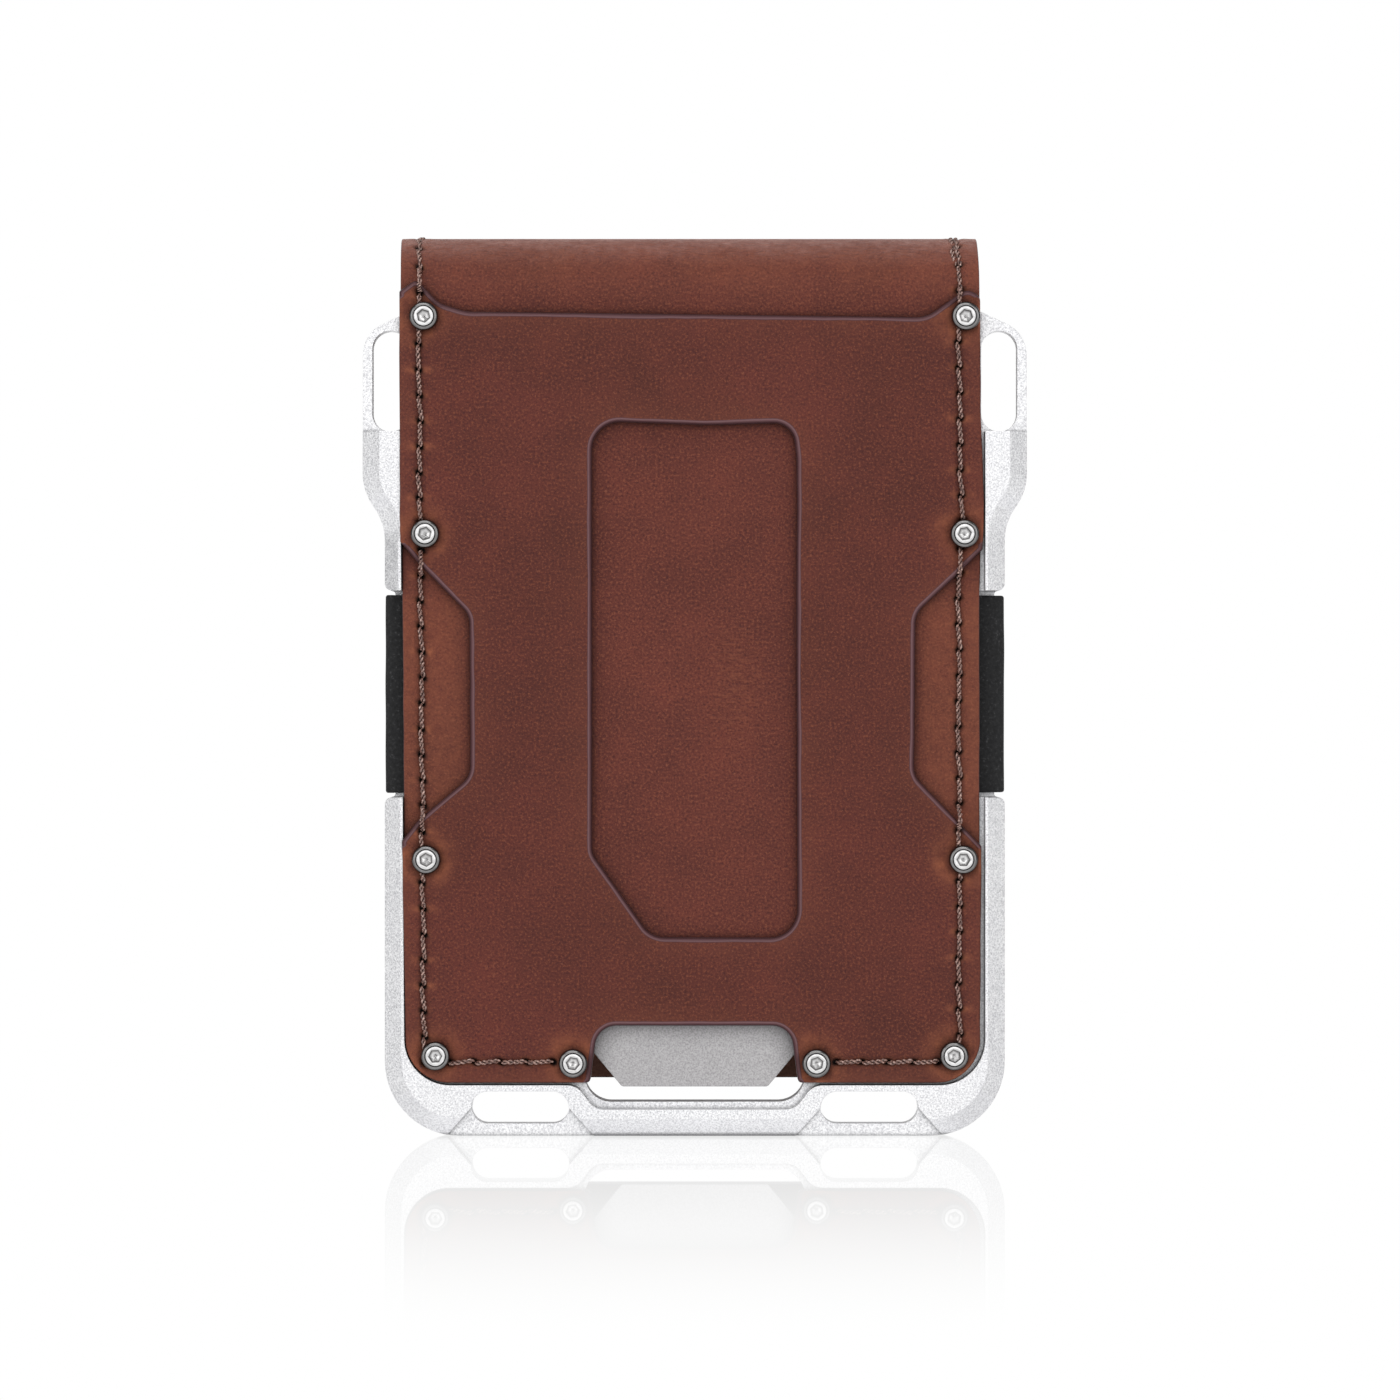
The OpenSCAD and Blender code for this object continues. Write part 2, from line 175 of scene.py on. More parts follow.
def waxedLeather(name, look):
    # Vegetable-tanned cowhide with pull-up wax: satin, mottled, orange where it is bent or rubbed
    material, tree, shader = newMaterial(name)
    uv = addNode(tree, "ShaderNodeUVMap", uv_map="flat").outputs["UV"]  # 1 unit is 100 mm of leather

    def noise(size, detail, roughness, distortion=0.0, vector=uv):
        settings = {"Scale": 100 / size, "Detail": detail, "Roughness": roughness, "Distortion": distortion}
        return addNode(tree, "ShaderNodeTexNoise", settings, {"Vector": vector}).outputs["Fac"]

    def attribute(key):
        return addNode(tree, "ShaderNodeAttribute", attribute_name=key).outputs["Fac"]

    def scaled(value, strength):
        return addNode(tree, "ShaderNodeMath", {1: strength}, {0: value}, operation="MULTIPLY",
                       use_clamp=True).outputs[0]

    cloudy, patchy = noise(30, 4.0, 0.6), noise(5.5, 4.0, 0.6)
    colour = setRamp(addNode(tree, "ShaderNodeValToRGB", links={"Fac": cloudy}),
                     [(0.34, linearColour(look["dark"])), (0.66, linearColour(look["light"]))]).outputs["Color"]
    patch = setRamp(addNode(tree, "ShaderNodeValToRGB", links={"Fac": patchy}),
                    [(0.32, (0.88, 0.88, 0.90, 1)), (0.68, (1.10, 1.08, 1.05, 1))]).outputs["Color"]
    colour = mixColours(tree, 1.0, colour, patch, "MULTIPLY")
    grain = noise(look["grain"], 3.0, 0.75)
    pores = setRamp(addNode(tree, "ShaderNodeValToRGB", links={"Fac": grain}),
                    [(0.49, linearColour(look["pore"])), (0.51, linearColour(look["rub"]))])
    poreMask = setRamp(addNode(tree, "ShaderNodeValToRGB", links={"Fac": grain}),
                       [(0.34, (1, 1, 1, 1)), (0.47, (0, 0, 0, 1)), (0.53, (0, 0, 0, 1)), (0.66, (1, 1, 1, 1))])
    colour = mixColours(tree, scaled(poreMask.outputs["Color"], look["grainMix"]), colour, pores.outputs["Color"])
    dots = setRamp(addNode(tree, "ShaderNodeValToRGB", links={"Fac": noise(0.34, 2.0, 0.6)}),
                   [(0.62, (0, 0, 0, 1)), (0.70, (1, 1, 1, 1))]).outputs["Color"]
    colour = mixColours(tree, scaled(dots, look["speckMix"]), colour, linearColour(look["speck"]))
    # bent is the paler colour at the crown of the fold, partly a painted highlight
    for key, target, strength in (("wear", "worn", 0.6), ("pull", "pulled", 0.85), ("bend", "bent", 1.0)):
        broken = addNode(tree, "ShaderNodeMapRange",
                         {"From Min": 0.3, "From Max": 0.7, "To Min": 0.45, "To Max": 1.3},
                         {"Value": noise(1.1, 3.0, 0.7)}).outputs["Result"]
        mask = addNode(tree, "ShaderNodeMath", {}, {0: scaled(attribute(key), strength), 1: broken},
                       operation="MULTIPLY", use_clamp=True).outputs[0]
        colour = mixColours(tree, mask, colour, linearColour(look[target]))
    flow = addNode(tree, "ShaderNodeMapping", {"Rotation": (0, 0, 0.45), "Scale": (1.0, 3.2, 1.0)},
                   {"Vector": uv})
    wrinkle = noise(1.15, 2.0, 0.5, 0.4, flow.outputs["Vector"])
    wrinkled = addNode(tree, "ShaderNodeMath", {}, {0: wrinkle, 1: attribute("crease")}, operation="MULTIPLY")
    crest = addNode(tree, "ShaderNodeMapRange", {"From Min": 0.42, "From Max": 0.62, "To Max": 0.32},
                    {"Value": wrinkled.outputs[0]}).outputs["Result"]
    colour = mixColours(tree, crest, colour, linearColour(look["rub"]))
    # edge paint laps over the face by a width that wanders a little
    lapRange = {"From Min": 0.3, "From Max": 0.7, "To Min": look["lap"] * 0.8, "To Max": look["lap"] * 1.15}
    width = addNode(tree, "ShaderNodeMapRange", lapRange, {"Value": noise(14, 3.0, 0.7)})
    over = addNode(tree, "ShaderNodeMath", {}, {0: width.outputs["Result"], 1: attribute("gap")},
                   operation="SUBTRACT")
    paint = addNode(tree, "ShaderNodeMapRange", {"From Min": -0.03, "From Max": 0.05}, {"Value": over.outputs[0]})
    painted = paint.outputs["Result"]
    across = addNode(tree, "ShaderNodeMath", {}, {0: attribute("gap"), 1: width.outputs["Result"]},
                     operation="DIVIDE")
    # across the lap: painted shade next to the cut edge, and a painted highlight line further in
    lap = setRamp(addNode(tree, "ShaderNodeValToRGB", links={"Fac": across.outputs[0]}),
                  [(0.0, linearColour(look["paintShade"])), (0.4, linearColour(look["paint"])),
                   (0.76, linearColour(look["paintHighlight"])), (0.92, linearColour(look["paint"]))])
    colour = mixColours(tree, painted, colour, lap.outputs["Color"])
    # painted shade: the stitch holes are drawn near black
    colour = mixColours(tree, attribute("holeShade"), colour, linearColour("#0d0706"))
    # painted shade and painted shadow: the colour darkens in corners, round the holes and under the pocket's edges
    tree.links.new(paintedShade(tree, colour, 0.9, look["corner"]), shader.inputs["Base Color"])
    shine = addNode(tree, "ShaderNodeMapRange",
                    {"To Min": look["roughness"] - 0.08, "To Max": look["roughness"] + 0.08}, {"Value": patchy})
    rough = addNode(tree, "ShaderNodeMix", {3: 0.36}, {0: painted, 2: shine.outputs["Result"]}, data_type="FLOAT")
    tree.links.new(rough.outputs[0], shader.inputs["Roughness"])
    shader.inputs["Specular IOR Level"].default_value = look["gloss"]
    folds = addNode(tree, "ShaderNodeBump", {"Strength": 0.6, "Distance": 0.45 * mm},
                    {"Height": wrinkled.outputs[0]})
    coarse = addNode(tree, "ShaderNodeBump", {"Strength": 0.4, "Distance": 0.10 * mm},
                     {"Height": noise(1.3, 4.0, 0.65), "Normal": folds.outputs["Normal"]})
    fine = addNode(tree, "ShaderNodeBump", {"Strength": 0.9, "Distance": 0.12 * mm},
                   {"Height": grain, "Normal": coarse.outputs["Normal"]})
    tree.links.new(fine.outputs["Normal"], shader.inputs["Normal"])
    return material


def paintedEdge(name, hexText):
    # Burnished and painted cut edge of the leather: smooth, dark purple-brown, a little shiny
    material, tree, shader = newMaterial(name)
    where = addNode(tree, "ShaderNodeTexCoord").outputs["Object"]
    noise = addNode(tree, "ShaderNodeTexNoise", {"Scale": 1 / (1.2 * mm), "Detail": 3.0}, {"Vector": where})
    tone = setRamp(addNode(tree, "ShaderNodeValToRGB", links={"Fac": noise.outputs["Fac"]}),
                   [(place, (*[c * share for c in linearColour(hexText)[:3]], 1))
                    for place, share in ((0.3, 0.8), (0.7, 1.2))])
    tree.links.new(tone.outputs["Color"], shader.inputs["Base Color"])
    shader.inputs["Roughness"].default_value = 0.42
    shader.inputs["Specular IOR Level"].default_value = 0.45
    bump = addNode(tree, "ShaderNodeBump", {"Strength": 0.3, "Distance": 0.05 * mm},
                   {"Height": noise.outputs["Fac"]})
    tree.links.new(bump.outputs["Normal"], shader.inputs["Normal"])
    return material


def blastedMetal(name, look):
    # Bead-blasted metal: even and bright, with a fine grain of dents that glitter
    material, tree, shader = newMaterial(name)
    place = addNode(tree, "ShaderNodeTexCoord").outputs["Object"]
    grit = addNode(tree, "ShaderNodeTexNoise",
                   {"Scale": 1 / (look["grit"] * mm), "Detail": 2.0, "Roughness": 0.75}, {"Vector": place})
    cloud = addNode(tree, "ShaderNodeTexNoise", {"Scale": 1 / (9 * mm), "Detail": 3.0, "Roughness": 0.6},
                    {"Vector": place})
    tone = setRamp(addNode(tree, "ShaderNodeValToRGB", links={"Fac": grit.outputs["Fac"]}),
                   [(0.33, linearColour(look["dark"])), (0.62, linearColour(look["light"]))]).outputs["Color"]
    floorReflected = addNode(tree, "ShaderNodeAttribute", attribute_name="floorReflection").outputs["Fac"]  # painted floor reflection: a lighter, smoother grain on the bevels that look down at the floor
    reflectedTone = setRamp(addNode(tree, "ShaderNodeValToRGB", links={"Fac": grit.outputs["Fac"]}),
                     [(0.36, linearColour(look["floorReflectionDark"])),
                      (0.60, linearColour(look["floorReflectionLight"]))]).outputs["Color"]
    tone = mixColours(tree, floorReflected, tone, reflectedTone)
    shade = setRamp(addNode(tree, "ShaderNodeValToRGB", links={"Fac": cloud.outputs["Fac"]}),
                    [(0.3, (0.95, 0.95, 0.955, 1)), (0.7, (1.0, 1.0, 1.0, 1))]).outputs["Color"]
    # painted shade darkens the metal's colour along edges and in recesses
    tree.links.new(paintedShade(tree, mixColours(tree, 1.0, tone, shade, "MULTIPLY"), look["reach"], look["corner"]),
                   shader.inputs["Base Color"])
    shader.inputs["Metallic"].default_value = look["metallic"]
    rough = addNode(tree, "ShaderNodeMapRange",
                    {"To Min": look["roughness"] - 0.06, "To Max": look["roughness"] + 0.06},
                    {"Value": grit.outputs["Fac"]})
    tree.links.new(rough.outputs["Result"], shader.inputs["Roughness"])
    eased = addNode(tree, "ShaderNodeBevel", {"Radius": 0.13 * mm}, samples=6)  # broken edges, too small to model
    bump = addNode(tree, "ShaderNodeBump", {"Strength": look["bump"], "Distance": 0.06 * mm},
                   {"Height": grit.outputs["Fac"], "Normal": eased.outputs["Normal"]})
    tree.links.new(bump.outputs["Normal"], shader.inputs["Normal"])
    return material


def polishedSteel(name):
    # Polished stainless screw: mirror bright with dark reflections round its rim
    material, tree, shader = newMaterial(name)
    place = addNode(tree, "ShaderNodeTexCoord").outputs["Object"]
    smear = addNode(tree, "ShaderNodeTexNoise", {"Scale": 1 / (0.6 * mm), "Detail": 3.0}, {"Vector": place})
    tone = setRamp(addNode(tree, "ShaderNodeValToRGB", links={"Fac": smear.outputs["Fac"]}),
                   [(0.3, linearColour("#d6d5d5")), (0.7, linearColour("#f0efef"))])
    # the turned rim and groove are darker: painted dark reflection on the rim, painted shade in the groove and the
    # socket
    reflectionAndShade = addNode(tree, "ShaderNodeAttribute", attribute_name="reflectionAndShade").outputs["Fac"]
    tree.links.new(mixColours(tree, reflectionAndShade, tone.outputs["Color"], linearColour("#1d1716")),
                   shader.inputs["Base Color"])
    shader.inputs["Metallic"].default_value = 1.0
    rough = addNode(tree, "ShaderNodeMapRange", {"To Min": 0.12, "To Max": 0.26}, {"Value": smear.outputs["Fac"]})
    tree.links.new(rough.outputs["Result"], shader.inputs["Roughness"])
    return material


def elasticWebbing(name):
    # Woven elastic: matt black, with a fine rib and a few pale fibres
    material, tree, shader = newMaterial(name)
    place = addNode(tree, "ShaderNodeTexCoord").outputs["Object"]
    fibre = addNode(tree, "ShaderNodeTexNoise", {"Scale": 1 / (0.4 * mm), "Detail": 3.0, "Roughness": 0.7},
                    {"Vector": place})
    weave = addNode(tree, "ShaderNodeTexWave",
                    {"Scale": 1 / (4.5 * mm), "Distortion": 1.2, "Detail": 2.0, "Detail Scale": 3.0},
                    {"Vector": place}, wave_type="BANDS", bands_direction="Z")
    tone = setRamp(addNode(tree, "ShaderNodeValToRGB", links={"Fac": fibre.outputs["Fac"]}),
                   [(0.35, linearColour("#1a1a1b")), (0.6, linearColour("#262627")),
                    (0.74, linearColour("#4a4a4b"))])
    tree.links.new(tone.outputs["Color"], shader.inputs["Base Color"])
    shader.inputs["Roughness"].default_value = 0.85
    shader.inputs["Specular IOR Level"].default_value = 0.25
    first = addNode(tree, "ShaderNodeBump", {"Strength": 0.25, "Distance": 0.08 * mm},
                    {"Height": weave.outputs["Fac"]})
    second = addNode(tree, "ShaderNodeBump", {"Strength": 0.6, "Distance": 0.08 * mm},
                     {"Height": fibre.outputs["Fac"], "Normal": first.outputs["Normal"]})
    tree.links.new(second.outputs["Normal"], shader.inputs["Normal"])
    return material


def waxedThread(name):
    # Waxed polyester thread, two plies: dark brown with pale highlights along each ply
    material, tree, shader = newMaterial(name)
    place = addNode(tree, "ShaderNodeTexCoord").outputs["Object"]
    fibre = addNode(tree, "ShaderNodeTexNoise", {"Scale": 1 / (0.25 * mm), "Detail": 2.0}, {"Vector": place})
    # the pale end of this ramp is painted highlight, and below it painted shade darkens the colour between the
    # plies
    tone = setRamp(addNode(tree, "ShaderNodeValToRGB", links={"Fac": fibre.outputs["Fac"]}),
                   [(0.32, linearColour("#432a26")), (0.5, linearColour("#7d5a50")),
                    (0.68, linearColour("#c4a498"))])
    tree.links.new(paintedShade(tree, tone.outputs["Color"], 0.25, 0.02), shader.inputs["Base Color"])
    shader.inputs["Roughness"].default_value = 0.3
    shader.inputs["Specular IOR Level"].default_value = 0.7
    bump = addNode(tree, "ShaderNodeBump", {"Strength": 0.4, "Distance": 0.04 * mm},
                   {"Height": fibre.outputs["Fac"]})
    tree.links.new(bump.outputs["Normal"], shader.inputs["Normal"])
    return material


# grain and lap are in millimetres; corner is how dark the painted shade makes the leather in a tight corner
pocketLook = {"dark": "#512922", "light": "#613029", "grain": 0.30, "pore": "#351a1c", "rub": "#804833",
              "grainMix": 0.7, "speck": "#985d47", "speckMix": 0.3, "worn": "#704030", "pulled": "#9c5c40",
              "bent": "#a67d74", "paint": "#523538", "paintShade": "#382325", "paintHighlight": "#735558",
              "corner": 0.35, "lap": 0.55, "roughness": 0.5, "gloss": 0.14}
coverLook = {**pocketLook, "dark": "#582c25", "light": "#68352c", "rub": "#854c38", "lap": 0.06}
liningLook = {**pocketLook, "dark": "#52352a", "light": "#64443a", "pore": "#2e1d18", "rub": "#66483a",
              "speck": "#6b4c3c", "worn": "#5c4032", "paint": "#3a2620", "paintShade": "#241714",
              "paintHighlight": "#463028", "lap": 0.15, "roughness": 0.7}
# dents of the blasting are drawn 0.2 mm wide, as coarse as they need to be to show; reach and corner set a thin
# painted shade along edges and in recesses
aluminiumLook = {"grit": 0.20, "dark": "#c2c2c5", "light": "#f9f9fa", "floorReflectionDark": "#d0d0d3",
                 "floorReflectionLight": "#f6f6f8", "metallic": 1.0, "roughness": 0.44, "bump": 0.7, "reach": 0.5,
                 "corner": 0.3}
# the wide reach and dark corner paint a shadow about 3 mm wide on the clip's tongue under the leather's edge
springLook = {**aluminiumLook, "dark": "#9a9899", "light": "#bcbabb", "roughness": 0.45, "bump": 0.4,
              "reach": 3.0, "corner": 0.4}
leatherPocket = waxedLeather("waxedCowhideReddishBrown", pocketLook)
leatherBrown = waxedLeather("waxedCowhideWarmBrown", coverLook)
leatherDark = waxedLeather("matteCowhideDarkBrown", liningLook)
edgeBrown = paintedEdge("paintedLeatherEdge", "#4a2d2f")
edgeDark = paintedEdge("paintedLeatherEdgeDark", "#2a1c18")
aluminium = blastedMetal("beadBlastedAluminium", aluminiumLook)
springSteel = blastedMetal("beadBlastedSpringSteel", springLook)
screwSteel = polishedSteel("polishedScrewSteel")
blackElastic = elasticWebbing("wovenBlackElastic")
brownThread = waxedThread("waxedBrownThread")
print("materials made")


def roundedOutline(corners, spacing):
    points, count = [], len(corners)
    for i, (x, z, radius) in enumerate(corners):
        here = np.array((x, z))
        before = np.array(corners[i - 1][:2])
        after = np.array(corners[(i + 1) % count][:2])
        if radius <= 0:
            points.append(here)
            continue
        u, v = (before - here), (after - here)
        u, v = u / np.linalg.norm(u), v / np.linalg.norm(v)
        half = math.acos(max(-1, min(1, float(u @ v)))) / 2
        centre = here + (u + v) / np.linalg.norm(u + v) * radius / math.sin(half)
        start = here + u * radius / math.tan(half) - centre
        turn = math.pi - 2 * half
        side = math.copysign(1, u[0] * v[1] - u[1] * v[0])
        steps = max(3, math.ceil(turn * radius / spacing))
        for k in range(steps + 1):
            t = -side * turn * k / steps
            points.append(centre + np.array((start[0] * math.cos(t) - start[1] * math.sin(t),
                                             start[0] * math.sin(t) + start[1] * math.cos(t))))
    dense = []
    for a, b in zip(points, points[1:] + points[:1]):
        length = np.linalg.norm(b - a)
        if length < 1e-6:
            continue
        steps = max(1, round(length / spacing))
        dense += [a + (b - a) * k / steps for k in range(steps)]
    return np.array(dense)


def mirroredCorners(corners):
    return corners + [(-x, z, r) for x, z, r in reversed(corners)]


def smoothNoise(x, z, scale, seed):  # value noise from -1 to 1, the same in every run
    x, z = np.asarray(x) / scale, np.asarray(z) / scale
    ix, iz = np.floor(x).astype(np.int64), np.floor(z).astype(np.int64)
    fx, fz = x - ix, z - iz
    fx, fz = fx * fx * (3 - 2 * fx), fz * fz * (3 - 2 * fz)

    def corner(a, b):
        n = (a * 374761393 + b * 668265263 + seed * 974711) & 0x7FFFFFFF
        n = ((n ^ (n >> 13)) * 1274126177) & 0x7FFFFFFF
        return ((n ^ (n >> 16)) & 0xFFFF) / 32767.5 - 1

    top = corner(ix, iz + 1) * (1 - fx) + corner(ix + 1, iz + 1) * fx
    low = corner(ix, iz) * (1 - fx) + corner(ix + 1, iz) * fx
    return low * (1 - fz) + top * fz


def distanceToLoops(points, loops):
    best = np.full(len(points), 1e9)
    for loop in loops:
        a, b = loop, np.roll(loop, -1, axis=0)
        d = b - a
        dd = np.maximum((d * d).sum(1), 1e-12)
        for k in range(0, len(points), 4000):
            p = points[k:k + 4000, None, :]
            t = np.clip(((p - a) * d).sum(2) / dd, 0, 1)
            gap = p - (a + t[..., None] * d)
            best[k:k + 4000] = np.minimum(best[k:k + 4000], np.sqrt((gap * gap).sum(2)).min(1))
    return best


def insideLoops(points, loops):
    inside = np.zeros(len(points), bool)
    for loop in loops:
        a, b = loop, np.roll(loop, -1, axis=0)
        for k in range(0, len(points), 4000):
            p = points[k:k + 4000]
            x, z = p[:, 0, None], p[:, 1, None]
            cross = (a[:, 1] > z) != (b[:, 1] > z)
            dz = np.where(b[:, 1] == a[:, 1], 1e-12, b[:, 1] - a[:, 1])
            at = (b[:, 0] - a[:, 0]) * (z - a[:, 1]) / dz + a[:, 0]
            inside[k:k + 4000] ^= (np.logical_and(cross, x < at).sum(1) % 2).astype(bool)
    return inside


# mesh sizes; the rings are circles of points that carry the dents round each hole and screw
sheetSettings = {"grid": 0.8, "edgeSpacing": 0.45, "holeRings": (0.16, 0.34, 0.55, 0.85, 1.2),
                 "screwRings": (1.7, 2.1, 2.6, 3.2)}
# a painted edge with a raised bead, and a cut and burnished one
beadEdge = {"radius": 0.34, "bead": 0.10, "beadWidth": 0.5, "rings": (0.06, 0.13, 0.21, 0.3, 0.4, 0.52, 0.66)}
rawEdge = {"radius": 0.16, "bead": 0.0, "beadWidth": 0.2, "rings": (0.05, 0.12, 0.22, 0.4)}


def leatherSheet(name, loops, thickness, place, relief, extra, materials, edge=rawEdge):
    boundary = np.vstack(loops)
    points = [boundary]
    for loop in loops:  # rings that follow each edge, where it rounds over
        ahead = np.roll(loop, -1, axis=0) - np.roll(loop, 1, axis=0)
        normal = np.stack((-ahead[:, 1], ahead[:, 0]), 1)
        normal /= np.maximum(np.linalg.norm(normal, axis=1)[:, None], 1e-9)
        for offset in edge["rings"]:
            for sign in (1, -1):
                ring = loop + sign * normal * offset
                ring = ring[insideLoops(ring, loops)]
                if len(ring):
                    points.append(ring[distanceToLoops(ring, loops) > offset * 0.92])
    low, high = boundary.min(0), boundary.max(0)
    step = sheetSettings["grid"]
    xs = np.arange(low[0] + step / 2, high[0], step)
    zs = np.arange(low[1] + step / 2, high[1], step * 0.866)
    grid = np.array([(x + (step / 2 if k % 2 else 0), z) for k, z in enumerate(zs) for x in xs])
    for more, margin in ((grid, step * 0.35), (extra, 0.1)):
        if len(more):
            more = more[insideLoops(more, loops)]
            points.append(more[distanceToLoops(more, loops) > edge["rings"][-1] + margin])
    flat = np.vstack(points)
    edges, first = [], 0
    for loop in loops:
        count = len(loop)
        edges += [(first + k, first + (k + 1) % count) for k in range(count)]
        first += count
    result = delaunay_2d_cdt([Vector(p) for p in flat], edges, [], 0, 1e-4, False)
    flat = np.array([tuple(p) for p in result[0]])
    faces = np.array([f for f in result[2] if len(f) == 3])
    faces = faces[insideLoops(flat[faces].mean(1), loops)]
    used = np.unique(faces)
    remap = np.full(len(flat), -1)
    remap[used] = np.arange(len(used))
    flat, faces = flat[used], remap[faces]
    first, second = flat[faces[:, 1]] - flat[faces[:, 0]], flat[faces[:, 2]] - flat[faces[:, 0]]
    turned = first[:, 0] * second[:, 1] - first[:, 1] * second[:, 0] < 0
    faces[turned] = faces[turned][:, ::-1]
    gap = distanceToLoops(flat, loops)
    radius = edge["radius"]
    drop = np.where(gap < radius, np.sqrt(np.maximum(radius ** 2 - (radius - gap) ** 2, 0)) - radius, 0)
    lift, marks = relief(flat[:, 0], flat[:, 1], gap)
    share = np.clip(marks.get("gap", gap) / edge["beadWidth"], 0, 1)
    bead = edge["bead"] * np.sin(math.pi * share ** 0.8) ** 0.7
    top = place(flat[:, 0], flat[:, 1], drop + bead + lift)
    bottom = place(flat[:, 0], flat[:, 1], -thickness - drop * 0.5)
    count = len(flat)
    sides = {(f[a], f[b]) for f in faces.tolist() for a, b in ((0, 1), (1, 2), (2, 0))}
    rim = sorted((a, b) for a, b in sides if (b, a) not in sides)  # walls stand on the open edges of the face
    verts = np.vstack((top, bottom)) * mm
    polygons = faces.tolist() + [(c + count, b + count, a + count) for a, b, c in faces.tolist()]
    polygons += [(b, a, a + count, b + count) for a, b in rim]
    mesh = bpy.data.meshes.new(name)
    mesh.from_pydata(verts.tolist(), [], polygons)
    slots = np.repeat((0, 2, 1), (len(faces), len(faces), len(rim))).astype(np.int32)  # face, back, rim
    mesh.polygons.foreach_set("material_index", slots)
    for material in materials:
        mesh.materials.append(material)
    layer = mesh.uv_layers.new(name="flat")
    corners = np.zeros(len(mesh.loops), np.int32)
    mesh.loops.foreach_get("vertex_index", corners)
    layer.data.foreach_set("uv", (np.vstack((flat, flat))[corners] / 100).astype(np.float32).ravel())
    wear = np.exp(-gap / 1.6) * (0.6 + 0.4 * smoothNoise(flat[:, 0], flat[:, 1], 3.5, 5))
    marks = {"gap": gap, "wear": wear, **marks}
    for key in ("gap", "wear", "pull", "bend", "crease", "holeShade"):
        attribute = mesh.attributes.new(key, "FLOAT", "POINT")
        below = np.full(count, 5.0) if key == "gap" else np.zeros(count)
        values = np.concatenate((marks.get(key, np.zeros(count)), below)).astype(np.float32)
        attribute.data.foreach_set("value", values)
    mesh.validate()
    mesh.shade_smooth()
    obj = addObject(name, mesh)
    facesOutward(mesh)
    print(name, len(mesh.polygons), "faces")
    return obj


# How the leather lies, and where the seams run; u and v are flat places on the hide
seamSettings = {"pitch": 2.95, "left": -31.0, "right": 30.7, "bottom": 8.6, "sink": 0.10, "holeDepth": 0.5,
                "leftStart": 11.45, "rightStart": 11.75}
driftSettings = {"from": 11.2, "rise": 86, "left": 0.6}  # how far the hide lies to the left at the top
foldEnd = foldZ + math.pi * (foldR - coverT / 2)  # flat height at which the rear panel begins
foldMid = (foldZ + foldEnd) / 2
flatTop = foldEnd + (foldZ - coverZ)


def ease(value, low, high):
    t = np.clip((value - low) / (high - low), 0, 1)
    return t * t * (3 - 2 * t)


def drift(u, v):  # the hide was glued a little to the left, more so towards the fold, and its edges wander
    front = np.minimum(v, 2 * foldMid - v)
    share = np.clip((front - driftSettings["from"]) / driftSettings["rise"], 0, 1)
    narrowed = 0.12 * ease(front, 97, foldMid)
    left = -0.10 - 0.09 * ease(front, 10, 25) - driftSettings["left"] * share - narrowed
    left = left + 0.03 * smoothNoise(v, v * 0, 3.1, 61)
    right = -0.34 + 0.30 * np.exp(-((front - 73) / 7) ** 2) - narrowed + 0.03 * smoothNoise(v, v * 0, 2.7, 62)
    return u + np.where(u < 0, left, right) * np.abs(u) / coverX


def asArrays(*values):
    return np.broadcast_arrays(*[np.asarray(value, float) for value in values])


def onCover(u, v, h):  # flat leather to the folded cover: up the front, over the fold and down the rear
    u, v, h = asArrays(u, v, h)
    angle = np.clip((v - foldZ) / (foldR - coverT / 2), 0, math.pi)
    y = np.where(v <= foldZ, frontY - h, np.where(v >= foldEnd, outerY + h, foldY - (foldR + h) * np.cos(angle)))
    z = np.where(v <= foldZ, v, np.where(v >= foldEnd, foldZ - (v - foldEnd), foldZ + (foldR + h) * np.sin(angle)))
    return np.stack((drift(u, v), y, z), -1)


def onPocket(u, v, h):
    u, v, h = asArrays(u, v, h)
    return np.stack((drift(u, v), pocketY - h, v), -1)


def seamHoles(side, low, high):
    pitch, start, x = seamSettings["pitch"], seamSettings[side + "Start"], seamSettings[side]
    places = [start + k * pitch for k in range(-1, math.ceil(high / pitch))]
    return [(x + 0.10 * math.sin(v * 1.7), v) for v in places if low < v < high]


# side cuts of the pocket, from the bottom up: right-hand and left-hand ones are not quite alike
rightCut = [(33.3, 33.4, 0.3), (25.45, 41.5, 2.4), (25.65, 60.1, 2.6), (30.3, 64.5, 4.0), (33.3, 67.5, 0.3)]
leftCut = [(-33.3, 34.0, 0.3), (-31.5, 36.3, 3.0), (-25.5, 41.4, 2.5), (-25.5, 60.0, 2.5), (-31.4, 66.1, 3.0),
           (-33.3, 68.4, 0.3)]
leftHoles = seamHoles("left", 8.0, flatTop - 3.4)
rightHoles = seamHoles("right", 8.0, flatTop - 3.4)
bottomLeft = [(-28.2 + k * 3.0, seamSettings["bottom"]) for k in range(5)]
bottomRight = [(28.4 - k * 3.0, seamSettings["bottom"]) for k in range(5)]
rearBottomZ = flatTop - 2.4
rearBottom = [(-28.3 + k * (56.6 / 18), rearBottomZ) for k in range(19)]


def nearPoints(u, v, places, reach):
    best = np.full(len(u), 1e9)
    for x, z in places:
        near = (np.abs(u - x) < reach) & (np.abs(v - z) < reach)
        best[near] = np.minimum(best[near], np.hypot(u[near] - x, v[near] - z))
    return best


